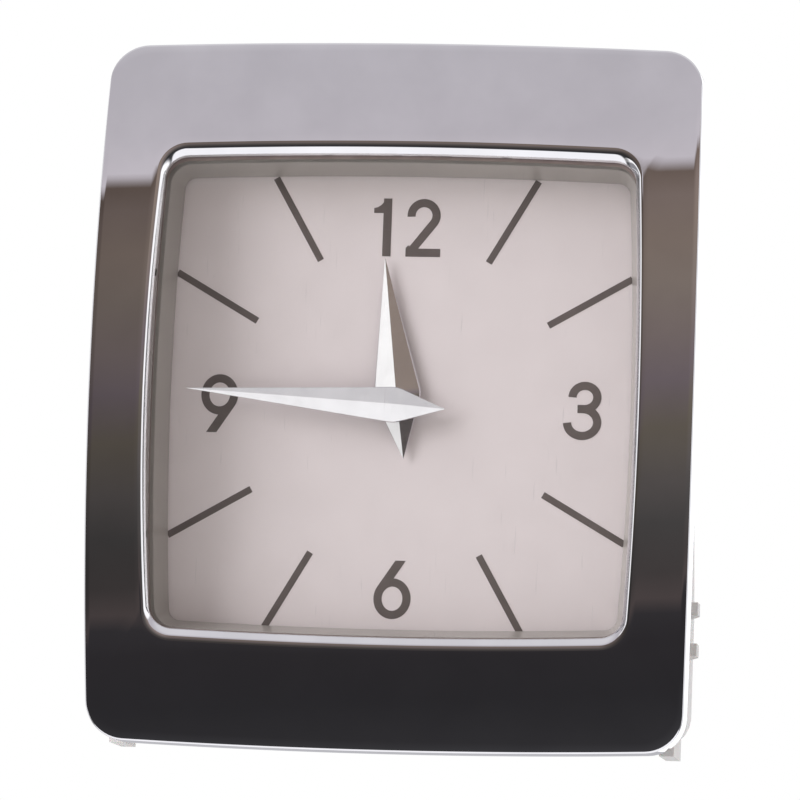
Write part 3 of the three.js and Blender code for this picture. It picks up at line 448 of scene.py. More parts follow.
@dataclass(frozen=True)
class Metal:
    """A metal or metal-plated finish.

    light and dark are the ends of its colour drift, rough its roughness range, drift the size of
    the colour and polish patches in millimetres, grain the scratch spacing and relief the height
    of its waviness in millimetres.
    """

    name: str
    light: str
    dark: str
    rough: tuple[float, float]
    drift: float = 6.0
    grain: float = 0.35
    stretch: tuple[float, float, float] = (1.0, 1.0, 1.0)
    relief: float = 0.0004

    def material(self) -> Material:
        """Builds the finish."""
        material, tree, place = start(self.name)
        patches = noise(tree, place, self.drift, 3.0)
        lay = add(tree, "ShaderNodeMapping", inputs={"Vector": place, "Scale": self.stretch})
        scratches = noise(tree, lay.outputs["Vector"], self.grain, 4.0)
        shader = add(
            tree,
            "ShaderNodeBsdfPrincipled",
            inputs={
                "Base Color": ramp(tree, patches, ((0.35, self.dark), (0.65, self.light))),
                "Metallic": 1.0,
                "Roughness": spread(tree, scratches, 0.3, 0.75, self.rough),
                "Normal": roughened(tree, scratches, self.relief),
            },
        )
        add(tree, "ShaderNodeOutputMaterial", inputs={"Surface": shader.outputs["BSDF"]})
        return material


@dataclass(frozen=True)
class Moulding:
    """A moulded plastic finish.

    light and dark are the ends of its colour drift, rough its roughness range, drift the size of
    the colour patches, grain the size of the mould's eroded texture and relief its height, all in
    millimetres. coat is the gloss of a skin that took the mould's polish.
    """

    name: str
    light: str
    dark: str
    rough: tuple[float, float]
    drift: float = 9.0
    grain: float = 0.12
    relief: float = 0.006
    coat: float = 0.0
    subsurface: float = 0.0

    def material(self) -> Material:
        """Builds the finish."""
        material, tree, place = start(self.name)
        patches = noise(tree, place, self.drift, 4.0)
        eroded = noise(tree, place, self.grain, 3.0)
        shader = add(
            tree,
            "ShaderNodeBsdfPrincipled",
            inputs={
                "Base Color": ramp(tree, patches, ((0.3, self.dark), (0.7, self.light))),
                "Roughness": spread(tree, eroded, 0.3, 0.7, self.rough),
                "IOR": 1.5,
                "Coat Weight": self.coat,
                "Coat Roughness": 0.12,
                "Subsurface Weight": self.subsurface,
                "Subsurface Scale": 0.6 * MM,
                "Normal": roughened(tree, eroded, self.relief),
            },
        )
        add(tree, "ShaderNodeOutputMaterial", inputs={"Surface": shader.outputs["BSDF"]})
        return material


@dataclass(frozen=True)
class ClearAcrylic:
    """Clear moulded acrylic, with a film of fine scuffs and a few dust specks on it.

    Nearly all of the light goes straight through. haze is the share of it that the film
    scatters and gloss the mirror's roughness. hair is the size of a scuff and dust_gap the
    distance between specks, in millimetres. face_mirror is the share mirrored head on and
    edge_mirror what a slanting view adds to it.
    """

    name: str
    tint: str = "#FEFEFD"
    haze: float = 0.025
    gloss: float = 0.03
    hair: float = 0.22
    dust_gap: float = 5.0
    face_mirror: float = 0.03
    edge_mirror: float = 0.9

    def material(self) -> Material:
        """Builds the finish."""
        material, tree, place = start(self.name)
        lay = add(
            tree,
            "ShaderNodeMapping",
            inputs={"Vector": place, "Scale": (1.0, 1.0, 0.05), "Rotation": (0.0, 0.7, 0.0)},
        )
        # hairline scuffs, about 0.1 mm wide so that they show
        lines = spread(tree, noise(tree, lay.outputs["Vector"], self.hair, 2.0), 0.70, 0.78)
        # dust, about one speck in 25 square millimetres
        specks = add(
            tree,
            "ShaderNodeTexVoronoi",
            inputs={"Vector": place, "Scale": 1 / (self.dust_gap * MM), "Randomness": 1.0},
        )
        dust = spread(tree, specks.outputs["Distance"], 0.022, 0.012)
        film = reckon(tree, "MULTIPLY", reckon(tree, "MAXIMUM", lines, dust), self.haze * 4)
        clear = add(tree, "ShaderNodeBsdfTransparent", inputs={"Color": linear(self.tint)})
        scatter = add(
            tree,
            "ShaderNodeBsdfDiffuse",
            inputs={"Color": linear("#E4E2E0"), "Roughness": 0.5},
        )
        body = blend_of(tree, film, clear, scatter)
        shine = add(
            tree,
            "ShaderNodeBsdfGlossy",
            inputs={"Color": linear("#FFFFFF"), "Roughness": self.gloss},
        )
        # mirrors more at a slant, alike from both sides
        slant = add(tree, "ShaderNodeLayerWeight", inputs={"Blend": 0.5})
        steep = reckon(tree, "POWER", slant.outputs["Facing"], 5.0)
        mirror = reckon(tree, "MULTIPLY_ADD", steep, self.edge_mirror, self.face_mirror)
        whole = blend_of(tree, mirror, body, shine)
        add(tree, "ShaderNodeOutputMaterial", inputs={"Surface": whole.outputs["Shader"]})
        return material


# Chrome plate on moulded ABS: a mirror with the very faint waviness of the moulding under it.
FRAME_CHROME = Metal(
    "chrome plate on moulded frame", "#D6D5D8", "#D0CFD2", (0.008, 0.02), relief=0.00003
)
# Chrome plate on a stamped blank: a mirror a shade softer than the frame's, so facets glow evenly.
HAND_CHROME = Metal(
    "chrome plate on stamped hand", "#DDDCE0", "#D6D5D9", (0.02, 0.04), drift=3.0, relief=0.00003
)
# Polished acrylic: nearly invisible but for hairs, dust and a mirror at a slant.
LENS = ClearAcrylic("clear moulded acrylic lens")
# Frosted acrylic: a misty pane that blurs the board behind it.
GUIDE = ClearAcrylic("clear moulded acrylic light guide", tint="#F1F4F2", haze=0.2, gloss=0.3)
# Satin ABS in a warm grey: smooth enough to mirror the dial a little.
WALL = Moulding(
    "satin moulded ABS wall", "#A8A39E", "#A19C97", (0.3, 0.42), relief=0.001, coat=0.35
)
# Screen-printed polyester film: matt and even, with the print's slight mottle.
DIAL = Moulding(
    "printed polyester dial film", "#EAE1E1", "#E6DDDD", (0.62, 0.75), drift=4.0, relief=0.0012
)
# Screen-printed ink: a soft brown black, flatter than the film round it.
INK = Moulding(
    "screen-printed ink", "#6A615E", "#625A57", (0.5, 0.62), drift=1.5, relief=0.001
)
# White ABS from an eroded mould: an even white with a fine dull grain.
HOUSING = Moulding(
    "white moulded ABS housing", "#DEDDDA", "#D8D6D2", (0.42, 0.58), relief=0.008, subsurface=0.08
)
# Natural acetal: milky and a little waxy, light sinks into it.
ACETAL = Moulding(
    "natural acetal gear", "#E8E3D6", "#DFD9CA", (0.28, 0.4), relief=0.002, subsurface=0.1
)
# Solder mask over woven glass: glossy green with the weave showing as a fine mottle.
MASK = Moulding(
    "solder mask on glass laminate", "#2F7048", "#235B39", (0.25, 0.38),
    drift=2.2, grain=0.4, coat=0.3,
)
# Black nylon from an eroded mould: dull charcoal without hard highlights.
BLACK = Moulding("black moulded nylon", "#222225", "#19191B", (0.4, 0.55), relief=0.006)
# Painted shade: a dull warm grey line inside the lip, standing in for the shade of the gap between
# the frame's seat and the lens.
SEAT_GAP_SHADE = Moulding(
    "painted shade in lens seat gap", "#8A7C76", "#7A6C66", (0.7, 0.85), drift=2.0, grain=0.08, relief=0.004
)
# White silicone: a soft cream cap that glows where light falls on it.
DIFFUSER = Moulding(
    "white silicone lamp lens", "#F4F0DC", "#ECE6C8", (0.25, 0.35), drift=1.5, subsurface=0.2
)
# Zinc plate on steel: bluish and slightly cloudy.
STEEL = Metal(
    "zinc-plated steel", "#B9BABC", "#A6A7AA", (0.22, 0.36), drift=1.6, relief=0.0015
)
# Punched brass: warm yellow with a fine polish.
BRASS = Metal("punched brass", "#C9A65C", "#B8944A", (0.2, 0.34), drift=2.0, relief=0.001)
# Enamelled wire: red brown with the turns as fine lines along the coil.
COPPER = Metal(
    "enamelled copper winding", "#B8683A", "#8E4826", (0.25, 0.4),
    grain=0.12, stretch=(1.0, 0.05, 0.05), relief=0.02,
)
# Sintered ferrite: dark grey with a dry, slightly metallic face.
FERRITE = Metal(
    "sintered ferrite magnet", "#5A5A60", "#4A4A50", (0.4, 0.55), drift=1.0, relief=0.003
)
# Seamless paper: pale and matt, with a very faint unevenness.
PAPER = Moulding(
    "pale backdrop paper", "#D9D9D7", "#D5D5D3", (0.8, 0.9), drift=120.0, grain=2.0, relief=0.01
)


# ------------------------------------------------------------------ levels

DIAL_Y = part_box("dial_plate")[0].y / MM
LENS_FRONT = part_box("window_lens")[0].y / MM
LENS_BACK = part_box("window_lens")[1].y / MM
FRAME_LOW, FRAME_HIGH = (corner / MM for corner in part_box("front_frame"))


@dataclass(frozen=True)
class FrontArc:
    """The frame's front and back rim, each an arc from top to bottom, in millimetres."""

    front: float = FRAME_LOW.y
    front_sag: float = 4.05
    rim_sag: float = 3.2
    lift: float = 0.8

    def share(self, z: float) -> float:
        """How far height z lies towards the top or bottom edge, squared."""
        return ((z - self.lift) / ((FRAME_HIGH.z - FRAME_LOW.z) / 2)) ** 2

    def front_at(self, z: float) -> float:
        """Depth of the front at height z."""
        return self.front + self.front_sag * self.share(z)

    def rim_at(self, z: float) -> float:
        """Depth of the back rim at height z."""
        return self.rim_sag * self.share(z)


ARC = FrontArc()
SIDE_BAND, END_BANDS = 6.15, 23.9  # each side of the frame; its top and bottom together
FRAME_FORM = Outline(
    width=FRAME_HIGH.x - FRAME_LOW.x,
    height=FRAME_HIGH.z - FRAME_LOW.z,
    corner=4.0,
    side_bow=0.4,
    end_bow=0.5,
    lift=ARC.lift,
)
WINDOW = Outline(
    width=FRAME_FORM.width - 2 * SIDE_BAND,
    height=FRAME_FORM.height - END_BANDS,
    corner=2.3,
    side_bow=0.7,
    end_bow=0.45,
    lift=0.5,
)


# ------------------------------------------------------------------ frame


@dataclass
class ChromeFrame:
    """The plated frame: arced front, rounded outer edge, rolled lip and bead round the window."""

    edge_radius: float = 0.2
    edge_steps: int = 7
    band_steps: int = 12
    seat_gap: float = 0.2
    rebate: float = 2.2
    # the lip's corners: growth at the sides and ends of the window and depth below the front
    lip_start: tuple[float, float] = (0.85, 1.65)
    roll_end: tuple[float, float, float] = (0.5, 1.09, 0.1)
    bead_end: tuple[float, float, float] = (0.1, 0.39, 0.62)
    lip_lift: float = 0.17
    bead_crown: float = 0.03
    bead_turn: float = 0.06
    roll_steps: int = 8
    bead_steps: int = 6

    def lip(self) -> list[Vector]:
        """Stations of the lip from the front to the lens's seat.

        Returns:
            Stations (out, up, sink, share of the way to the seat).
        """
        begin = Vector((*self.lip_start, 0.0, 0.0))
        roll = Vector((*self.roll_end, 0.0))
        bead = Vector((*self.bead_end, 0.0))
        stations = []
        # the roll dips slowly at first, so its end is its steepest part
        for i in range(self.roll_steps + 1):
            t = i / self.roll_steps
            here = begin.lerp(roll, t)
            here.z = roll.z * t * t
            stations.append(here)
        # the bead is nearly flat, a little crowned
        for i in range(1, self.bead_steps + 1):
            t = i / self.bead_steps
            here = roll.lerp(bead, t)
            here.z -= self.bead_crown * 4 * t * (1 - t)
            stations.append(here)
        # then it turns down and runs to the seat
        stations.append(Vector((bead.x, bead.y * 0.9, bead.z + self.bead_turn, 0.0)))
        stations.append(Vector((bead.x, bead.y * 0.8, 0.0, 1.0)))
        return stations

    def build(self) -> Piece:
        """Lofts the closed ring of the frame."""
        seat = LENS_FRONT - self.seat_gap
        loops = [loop_at(FRAME_FORM.points(), ARC.rim_at)]
        for i in range(self.edge_steps + 1):
            angle = math.pi / 2 * i / self.edge_steps
            inset = self.edge_radius * (1 - math.cos(angle))
            sink = self.edge_radius * (1 - math.sin(angle))
            form = FRAME_FORM.grown(-inset, -inset)
            loops.append(loop_at(form.points(), lambda z, s=sink: ARC.front_at(z) + s))
        outer = FRAME_FORM.grown(-self.edge_radius, -self.edge_radius).points()
        stations = self.lip()
        inner = WINDOW.grown(stations[0].x, stations[0].y)
        inner = replace(inner, lift=inner.lift + self.lip_lift).points()
        for i in range(1, self.band_steps):
            t = i / self.band_steps
            between = [a.lerp(b, t) for a, b in zip(outer, inner)]
            loops.append(loop_at(between, ARC.front_at))
        for out, up, sink, share in stations:
            form = WINDOW.grown(out, up)
            form = replace(form, lift=form.lift + self.lip_lift * (1 - share))
            loops.append(
                loop_at(
                    form.points(),
                    lambda z, s=sink, w=share: (1 - w) * (ARC.front_at(z) + s) + w * seat,
                )
            )
        pocket = WINDOW.grown(self.rebate + self.seat_gap, self.rebate + self.seat_gap)
        loops.append(loop_at(pocket.points(), lambda z: seat))
        loops.append(loop_at(pocket.points(), ARC.rim_at))
        piece = loft("chrome_frame", loops, closed=True)
        smooth(piece, 28)
        return piece

    def dress(self) -> None:
        """Builds the frame and hands it over."""
        hand_over(self.build(), Body.CASE, FRAME_CHROME.material(), ["front_frame"])


@dataclass
class LensGapShade:
    """A dark ring in the gap between the frame's seat and the lens, painted shade of that gap; its
    inner edge shows as a line.
    """

    outer: float = 2.0
    inner: float = 0.05
    slack: float = 0.02
    gap: float = 0.2

    def build(self) -> Piece:
        """Lofts the thin closed ring."""
        front, back = LENS_FRONT - self.gap + self.slack, LENS_FRONT - self.slack
        outer = WINDOW.grown(self.outer, self.outer).points()
        inner = WINDOW.grown(self.inner, self.inner).points()
        corners = ((outer, back), (outer, front), (inner, front), (inner, back))
        return loft("lens_gap_shade", [loop_at(p, lambda z, y=y: y) for p, y in corners], closed=True)

    def dress(self) -> None:
        """Builds the painted-shade ring and hands it over."""
        # painted shade: the ring's dull grey stands in for the shade in the seat gap
        hand_over(self.build(), Body.CASE, SEAT_GAP_SHADE.material())


@dataclass
class DialWell:
    """The grey wall that leads from the lens down to the dial, with its narrow front ledge."""

    gap: float = 0.2
    rebate: float = 2.2
    ledge: float = -0.16
    draft: float = 1.05
    rounding: float = 0.12
    rounding_steps: int = 5

    def build(self) -> Piece:
        """Lofts the closed ring of the wall."""
        front = LENS_BACK + self.gap
        back = DIAL_Y - self.gap
        outer = WINDOW.grown(self.rebate, self.rebate)
        rows = [(self.rebate, front), (self.ledge + self.rounding, front)]
        for i in range(1, self.rounding_steps):
            angle = math.pi / 2 * i / self.rounding_steps
            inward = self.rounding * (1 - math.sin(angle))
            down = self.rounding * (1 - math.cos(angle))
            rows.append((self.ledge + inward, front + down))
        rows.append((self.ledge, front + self.rounding))
        rows.append((-self.draft, back))
        loops = [loop_at(WINDOW.grown(g, g).points(), lambda z, y=y: y) for g, y in rows]
        loops.append(loop_at(outer.points(), lambda z: back))
        piece = loft("dial_well", loops, closed=True)
        smooth(piece, 35)
        return piece

    def dress(self) -> None:
        """Builds the wall and hands it over."""
        hand_over(self.build(), Body.CASE, WALL.material(), ["dial_surround"])


# ------------------------------------------------------------------ dial print


@dataclass
class DialPrint:
    """Hour marks and numerals, printed in one thin layer on the dial."""

    film: float = 0.025
    stroke: float = 0.85
    height: float = 6.0
    tick_radius: float = 22.3
    tick_length: float = 9.8
    tick_width: float = 0.7

    def layer(self, name: str, corners: Sequence[Sequence[Point]], closed: bool = False) -> Piece:
        """Lofts a flat printed shape from stations of two edge points each.

        Args:
            name: Name of the shape.
            corners: Stations, each with its left and right edge point (x, z) in millimetres.
            closed: Joins the last station to the first.

        Returns:
            The shape as a thin closed solid on the dial.
        """
        front, back = DIAL_Y - self.film, DIAL_Y - self.film * 0.1
        loops = []
        for left, right in corners:
            loops.append(
                [
                    Vector((left[0], front, left[1])) * MM,
                    Vector((right[0], front, right[1])) * MM,
                    Vector((right[0], back, right[1])) * MM,
                    Vector((left[0], back, left[1])) * MM,
                ]
            )
        return loft(name, loops, closed)

    def brush(self, name: str, path: Sequence[Point], closed: bool = False) -> Piece:
        """Draws a stroke of even width along a path of centre points in millimetres."""
        points = [Vector(p) for p in path]
        count = len(points)
        stations = []
        for i, point in enumerate(points):
            before = points[(i - 1) % count] if closed else points[max(i - 1, 0)]
            after = points[(i + 1) % count] if closed else points[min(i + 1, count - 1)]
            along = (after - before).normalized()
            side = Vector((-along.y, along.x)) * self.stroke / 2
            stations.append((tuple(point + side), tuple(point - side)))
        return self.layer(name, stations, closed)

    @staticmethod
    def arc(
        centre: Point, radii: Point, start_at: float, end_at: float, steps: int = 28
    ) -> list[Point]:
        """Points of an elliptic arc between two angles in degrees."""
        points = []
        for i in range(steps + 1):
            angle = math.radians(start_at + (end_at - start_at) * i / steps)
            x = centre[0] + radii[0] * math.cos(angle)
            points.append((x, centre[1] + radii[1] * math.sin(angle)))
        return points

    def one(self) -> Piece:
        """Numeral 1: an upright with a flag that hollows up to its top."""
        right, left, top = 1.85, 0.98, self.height
        stem = self.layer("stem", [((left, 0.0), (right, 0.0)), ((left, top), (right, top))])
        flag_top = [(0.0, 5.0), (0.4, 5.09), (0.75, 5.33), (1.05, 5.68), (1.25, top)]
        flag_foot = [(0.0, 4.48), (0.4, 4.48), (0.75, 4.48), (1.05, 4.48), (1.3, 4.48)]
        flag = self.layer("flag", list(zip(flag_top, flag_foot)))
        return merge("one", [stem, flag])

    def two(self) -> Piece:
        """Numeral 2: a round bowl, a straight diagonal and a flat base."""
        half = self.stroke / 2
        path = self.arc((1.80, 4.28), (1.72 - half, 1.72 - half), 186, -38)
        path.append((0.55, 0.57))
        bowl = self.brush("bowl", path)
        base_ends = [((x, self.stroke), (x, 0.0)) for x in (0.0, 3.6)]
        base = self.layer("base", base_ends)
        heel = self.layer("heel", [((0.0, 0.9), (0.0, 0.3)), ((0.28, 1.2), (0.9, 0.3))])
        return merge("two", [base, bowl, heel])

    def three(self) -> Piece:
        """Numeral 3: two bowls that share a short middle bar."""
        half = self.stroke / 2
        middle = 3.19
        upper_radius = (self.height - half - middle) / 2
        lower_radius = (middle - half) / 2
        upper = self.arc((2.18, middle + upper_radius), (1.70 - half, upper_radius), 180, -90)
        lower = self.arc((1.97, half + lower_radius), (1.97 - half, lower_radius), 90, -178)
        return merge(
            "three",
            [
                self.brush("upper", [*upper, (1.45, middle)]),
                self.brush("lower", [(1.45, middle), *lower]),
            ],
        )

    def six(self) -> Piece:
        """Numeral 6: a round bowl with a straight slanted stem, cut level at its top."""
        half = self.stroke / 2
        ring = self.arc((1.92, 2.09), (1.92 - half, 2.09 - half), 0, 360, 56)[:-1]
        bowl = self.brush("bowl", ring, closed=True)
        stem_top = ((2.13, self.height), (3.21, self.height))
        stem_middle = ((1.0, 4.28), (1.98, 4.12))
        stem_foot = ((0.36, 3.31), (1.3, 3.4))
        stem = self.layer("stem", [stem_top, stem_middle, stem_foot])
        return merge("six", [bowl, stem])

    @staticmethod
    def numeral(shape: Piece, at: Point, turned: bool = False) -> Piece:
        """Moves a numeral's mesh so that the middle of its box stands at a place.

        Args:
            shape: The numeral, drawn from its own lower left corner.
            at: Where its middle goes, (x, z) in millimetres.
            turned: Turns it upside down first, which makes a 9 of a 6.

        Returns:
            The numeral.
        """
        if turned:
            shape.data.transform(Matrix.Rotation(math.pi, 4, "Y"))
        xs = [v.co.x for v in shape.data.vertices]
        zs = [v.co.z for v in shape.data.vertices]
        middle = Vector(((min(xs) + max(xs)) / 2, 0, (min(zs) + max(zs)) / 2))
        shape.data.transform(Matrix.Translation(Vector((at[0], 0, at[1])) * MM - middle))
        return shape

    def build(self) -> list[Piece]:
        """Makes the marks and the numerals."""
        ticks = []
        half = self.tick_width / 2
        for hour in (1, 2, 4, 5, 7, 8, 10, 11):
            inner = self.tick_radius - self.tick_length / 2
            outer = self.tick_radius + self.tick_length / 2
            tick = self.layer("tick", [((-half, z), (half, z)) for z in (inner, outer)])
            tick.data.transform(Matrix.Rotation(math.radians(30 * hour), 4, "Y"))
            ticks.append(tick)
        marks = join("dial_marks", ticks)
        figures = [
            self.numeral(self.one(), (-2.43, 18.6)),
            self.numeral(self.two(), (1.84, 18.6)),
            self.numeral(self.three(), (18.85, 0.0)),
            self.numeral(self.six(), (-0.07, -18.74)),
            self.numeral(self.six(), (-18.7, 0.1), turned=True),
        ]
        return [marks, join("dial_numerals", figures)]

    def dress(self) -> None:
        """Builds the print and hands it over."""
        ink = INK.material()
        for piece in self.build():
            hand_over(piece, Body.CASE, ink)


# ------------------------------------------------------------------ hands


@dataclass
class Hand:
    """A faceted dart: two plane facets up to a ridge, a rounded belly and a narrow side bevel.

    tip, tail and belly are heights along the hand, width is across its belly, ridge and point
    are how far the ridge stands at the belly and at the ends, all in millimetres. bevel is the
    side bevel's share of the width and bevel_rise its share of the ridge's rise. angle is the
    hand's turn from twelve in degrees.
    """

    name: str
    node: str
    body: Body
    tip: float
    tail: float
    width: float
    belly: float
    ridge: float
    bevel: float
    point: float
    angle: float
    bevel_rise: float = 0.16
    blend: float = 0.16
    stations: int = 60

    def share(self, z: float) -> float:
        """Width at height z as a share of the widest."""
        up = (self.tip - z) / (self.tip - self.belly)
        down = (z + self.tail) / (self.belly + self.tail)
        # the two straight flanks blend into a round belly
        near = max(self.blend - abs(up - down), 0.0) / self.blend
        return min(up, down) - near * near * self.blend / 4

    def build(self) -> Piece:
        """Lofts the dart upright and turns its mesh to the hand's place."""
        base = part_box(self.node)[1].y / MM
        length = self.tip + self.tail
        heights = [self.tip - length * (i / self.stations) for i in range(self.stations + 1)]
        # more stations where the flanks curve
        heights += [self.belly + self.blend * k * 0.8 for k in range(-12, 13)]
        inside = {round(h, 4) for h in heights if -self.tail <= h <= self.tip}
        heights = sorted(inside, reverse=True)
        half = self.width / 2
        peak = self.share(self.belly)
        rise = self.ridge - self.point

        def skin(width: float, depth: float) -> list[Vector]:
            """One loop down the right side and up the left side; width and rise shrink alike."""
            right, left = [], []
            for z in heights:
                share = max(self.share(z) / peak, 0.0)
                if depth <= self.point:
                    y = base - depth
                else:
                    y = base - self.point - (depth - self.point) * share
                right.append(Vector((half * share * width, y, z)) * MM)
                left.append(Vector((-half * share * width, y, z)) * MM)
            return right + left[::-1]

        loops = [
            skin(1.0, 0.0),
            skin(1.0, self.point),
            skin(1.0 - self.bevel, self.point + rise * self.bevel_rise),
            skin(0.0, self.ridge),
        ]
        piece = loft(self.name, loops, ridged=True)
        piece.data.transform(Matrix.Rotation(math.radians(self.angle), 4, "Y"))
        smooth(piece, 10)
        return piece

    def dress(self, material: Material) -> None:
        """Builds the hand and hands it over."""
        hand_over(self.build(), self.body, material, [self.node])


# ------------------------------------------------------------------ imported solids


@dataclass
class Inside:
    """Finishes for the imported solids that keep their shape, and roundings for those that show."""

    rounded: tuple = (
        ("rear_housing", "housing_shell", 0.3, HOUSING),
        ("connector_shell", "harness_socket", 0.18, BLACK),
    )

    def dress(self) -> None:
        """Rounds what shows and gives every other solid its finish."""
        finishes = {
            "housing_white": HOUSING, "gear_acetal": ACETAL, "board_laminate": MASK,
            "black_moulding": BLACK, "brass_parts": BRASS, "copper_wire": COPPER,
            "magnet_ferrite": FERRITE, "led_lens": DIFFUSER, "steel_parts": STEEL,
            "lens_clear": LENS, "guide_acrylic": GUIDE, "dial_print": DIAL,
            "surround_grey": WALL, "frame_chrome": FRAME_CHROME, "hand_chrome": HAND_CHROME,
        }
        made: dict[str, Material] = {}
        slots = {part["node"]: part["material_slot"] for part in frame["record"]["subparts"]}
        for node, name, width, finish in self.rounded:
            piece = copy_of(node, name)
            soften(piece, width)
            slot = slots[node]
            made.setdefault(slot, finish.material())
            hand_over(piece, Body.CASE, made[slot], [node])
        for node, obj in frame["nodes"].items():
            slot = slots[node]
            if slot not in made:
                made[slot] = finishes[slot].material()
            if obj.material_slots:
                for material_slot in obj.material_slots:
                    material_slot.material = made[slot]
            else:
                obj.data.materials.append(made[slot])


# ------------------------------------------------------------------ studio


@dataclass
class Studio:
    """A pale floor far below the held clock, soft light from the left and a dark wall in front.

    turn, rise and roll are the camera's angles in degrees; distance, lens and sensor are in
    millimetres, and aim is how far beside the dial's middle it looks, right and up. room_low
    and room_high are the elevations, wall_left and wall_right the bearings in degrees between
    which the room's tones are given. The floor's drop and the lamp's size and place are metres.
    """

    floor_drop: float = 0.25
    mirror: float = 0.66  # share of light the chrome gives back, so tones read as they are seen
    turn: float = 8.37
    rise: float = 6.68
    roll: float = 2.05
    distance: float = 690.9
    lens: float = 303.8
    aim: tuple[float, float] = (0.05, 0.77)
    sensor: float = 36.0
    room_low: float = -45.0
    room_high: float = 55.0
    wall_left: float = -14.0
    wall_right: float = -2.0
    lamp_size: float = 1.3
    lamp_power: float = 25.5
    lamp_place: tuple[float, float, float] = (-1.19, -0.51, 0.53)

    def camera(self) -> None:
        """Places the camera below and to the right of the dial's axis."""
        yaw, pitch, roll = (math.radians(a) for a in (self.turn, self.rise, self.roll))
        level = Vector((math.cos(yaw), math.sin(yaw), 0.0))
        outward = Vector((math.sin(yaw), -math.cos(yaw), 0.0))
        upright = Vector((0.0, 0.0, 1.0))
        away = outward * math.cos(pitch) - upright * math.sin(pitch)
        rising = outward * math.sin(pitch) + upright * math.cos(pitch)
        side = level * math.cos(roll) + rising * math.sin(roll)
        up = rising * math.cos(roll) - level * math.sin(roll)
        place = (Vector((0.0, DIAL_Y, 0.0)) + away * self.distance) * MM
        target = (Vector((0.0, DIAL_Y, 0.0)) + side * self.aim[0] + up * self.aim[1]) * MM
        back = (place - target).normalized()
        side = up.cross(back).normalized()
        up = back.cross(side)
        data = bpy.data.cameras.new("camera")
        data.lens = self.lens
        data.sensor_width = self.sensor
        data.clip_start, data.clip_end = 0.01, 20.0
        camera = bpy.data.objects.new("camera", data)
        bpy.context.scene.collection.objects.link(camera)
        turned = Matrix((side, up, back)).transposed().to_4x4()
        camera.matrix_world = Matrix.Translation(place) @ turned
        bpy.context.scene.camera = camera

    def floor(self) -> None:
        """A wide pale disc of paper with its rim turned down."""
        bpy.ops.object.select_all(action="DESELECT")
        bpy.ops.mesh.primitive_circle_add(
            vertices=96, radius=3.0, fill_type="NGON", location=(0, 0, -self.floor_drop)
        )
        floor = bpy.context.active_object
        floor.name = "floor"
        bpy.ops.object.mode_set(mode="EDIT")
        bpy.ops.mesh.extrude_region_move(TRANSFORM_OT_translate={"value": (0, 0, -0.01)})
        bpy.ops.object.mode_set(mode="OBJECT")
        bpy.ops.object.transform_apply(location=True, rotation=False, scale=False)
        floor.data.materials.append(PAPER.material())
        floor.visible_glossy = False

    def surroundings(self) -> None:
        """The room: dark in front up to a sharp edge, pale above, below and at both sides."""
        world = bpy.data.worlds.new("studio")
        bpy.context.scene.world = world
        world.use_nodes = True
        tree = world.node_tree
        tree.nodes.clear()
        way = add(tree, "ShaderNodeTexCoord").outputs["Generated"]
        parts = add(tree, "ShaderNodeSeparateXYZ", inputs={0: way})
        ahead = reckon(tree, "MULTIPLY", parts.outputs["Y"], -1.0)
        bearing = reckon(tree, "ARCTAN2", parts.outputs["X"], ahead)
        height = reckon(tree, "ARCSINE", parts.outputs["Z"])
        left, right = math.radians(self.wall_left), math.radians(self.wall_right)
        # the dark wall's upper edge rises a little to the right
        tilt = spread(tree, bearing, left, right, (math.radians(2.7), math.radians(-2.7)))
        spot = spread(
            tree,
            reckon(tree, "ADD", height, tilt),
            math.radians(self.room_low),
            math.radians(self.room_high),
        )
        tones = (
            (-39, "#F6F6F8"), (-34.5, "#404042"), (-17, "#29282A"), (-13, "#2B292B"),
            (-11, "#302E30"), (-9.8, "#47403F"), (-7.9, "#3D3938"), (-4, "#3E3C3B"),
            (-0.8, "#4B4745"), (3.5, "#565048"), (7.3, "#60575A"), (11.1, "#6A605D"),
            (14.9, "#70665F"), (18.8, "#73675F"), (22.2, "#6E625C"), (24.2, "#62564F"),
            (25.2, "#BDB8BD"), (28, "#B6B2B7"), (36, "#B4B1B6"), (55, "#CECDD0"),
        )
        span = self.room_high - self.room_low
        wall = ramp(tree, spot, [((angle - self.room_low) / span, tone) for angle, tone in tones])
        # brighter to the right, between the floor line and the dark wall's upper edge
        slope = spread(tree, bearing, left, right, (0.6, 1.4))
        reach = ramp(tree, spot, ((0.33, 0.0), (0.39, 1.0), (0.69, 1.0), (0.70, 0.0)))
        front = mingle(tree, "MULTIPLY", reach, wall, slope)
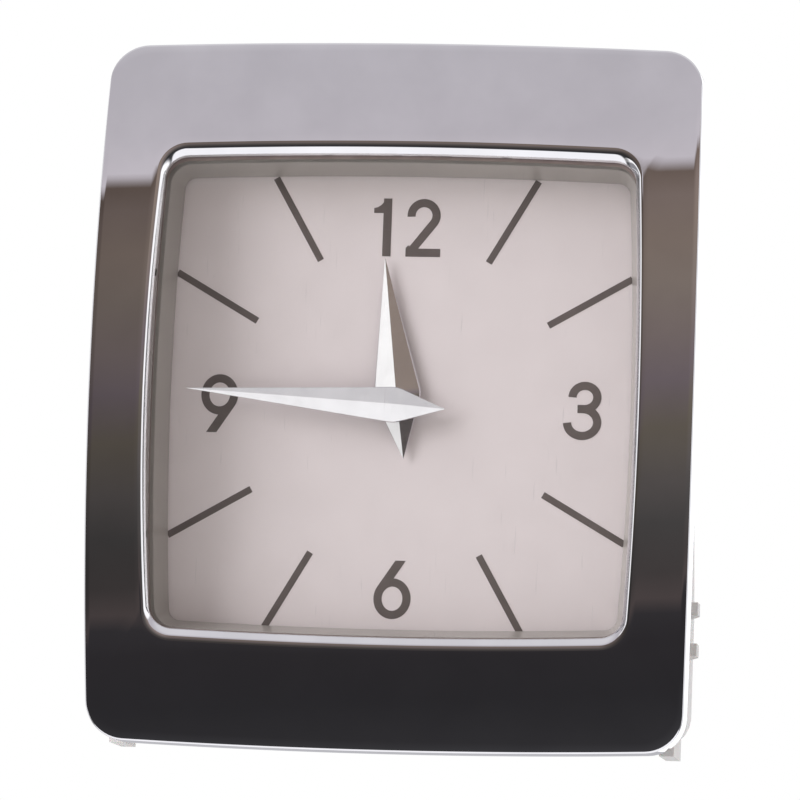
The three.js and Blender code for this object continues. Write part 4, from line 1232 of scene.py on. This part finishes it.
        # screens at both sides: two on the left, one on the right, and a grey room behind
        screens = (
            (-135, "#A4A4A8"), (-125, "#FFFFFF"), (-90, "#FFFFFF"), (-84, "#8A8A8E"),
            (-68, "#8A8A8E"), (-62, "#FFFFFF"), (-47, "#FFFFFF"), (-44, 0.0), (46, 0.0),
            (57, "#77767A"), (70, "#FFFFFF"), (95, "#FFFFFF"), (100, "#9A9A9E"),
            (130, "#9A9A9E"), (140, "#F6F6F8"),
        )
        compass = spread(tree, bearing, -math.pi, math.pi)
        ring = ramp(tree, compass, [((angle + 180) / 360, tone) for angle, tone in screens])
        level = ramp(tree, spot, ((0.15, 0.3), (0.22, 1.0), (0.68, 1.0), (0.75, 0.3)))
        sides = mingle(tree, "MULTIPLY", 1.0, ring, level)
        room = mingle(tree, "LIGHTEN", 1.0, front, sides)
        lit = add(
            tree, "ShaderNodeBackground", inputs={"Color": room, "Strength": 1.0 / self.mirror}
        )
        white = (1.0, 1.0, 1.0, 1.0)
        plain = add(tree, "ShaderNodeBackground", inputs={"Color": white, "Strength": 1.0})
        seen = add(tree, "ShaderNodeLightPath").outputs["Is Camera Ray"]
        both = blend_of(tree, seen, lit, plain)
        add(tree, "ShaderNodeOutputWorld", inputs={"Surface": both.outputs[0]})

    def lamps(self) -> None:
        """A large soft lamp high on the left, seen by matt surfaces only."""
        data = bpy.data.lights.new("soft box", "AREA")
        data.shape = "DISK"
        data.size = self.lamp_size
        data.energy = self.lamp_power
        data.color = linear("#F7F7FF")[:3]
        lamp = bpy.data.objects.new("soft box", data)
        bpy.context.scene.collection.objects.link(lamp)
        lamp.location = self.lamp_place
        lamp.rotation_mode = "QUATERNION"
        lamp.rotation_quaternion = Vector(self.lamp_place).to_track_quat("Z", "Y")
        lamp.visible_glossy = False

    def build(self) -> None:
        """Sets the whole studio."""
        self.camera()
        self.floor()
        self.surroundings()
        self.lamps()
        bpy.context.scene.view_settings.view_transform = "Standard"


def main() -> None:
    logging.basicConfig(level=logging.INFO, format="%(name)s: %(message)s")
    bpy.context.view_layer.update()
    Studio().build()
    ChromeFrame().dress()
    LensGapShade().dress()
    DialWell().dress()
    DialPrint().dress()
    hand_chrome = HAND_CHROME.material()
    Hand(
        "minute_dart", "minute_hand", Body.MINUTE, tip=22.0, tail=5.0, width=3.6, belly=0.1,
        ridge=1.1, bevel=0.04, point=0.12, angle=273.6,
    ).dress(hand_chrome)
    Hand(
        "hour_dart", "hour_hand", Body.HOUR, tip=15.5, tail=5.4, width=4.8, belly=1.1,
        ridge=1.1, bevel=0.05, point=0.12, angle=352.8,
    ).dress(hand_chrome)
    Inside().dress()
    LOG.info("boxes written")


if __name__ == "__main__":
    main()
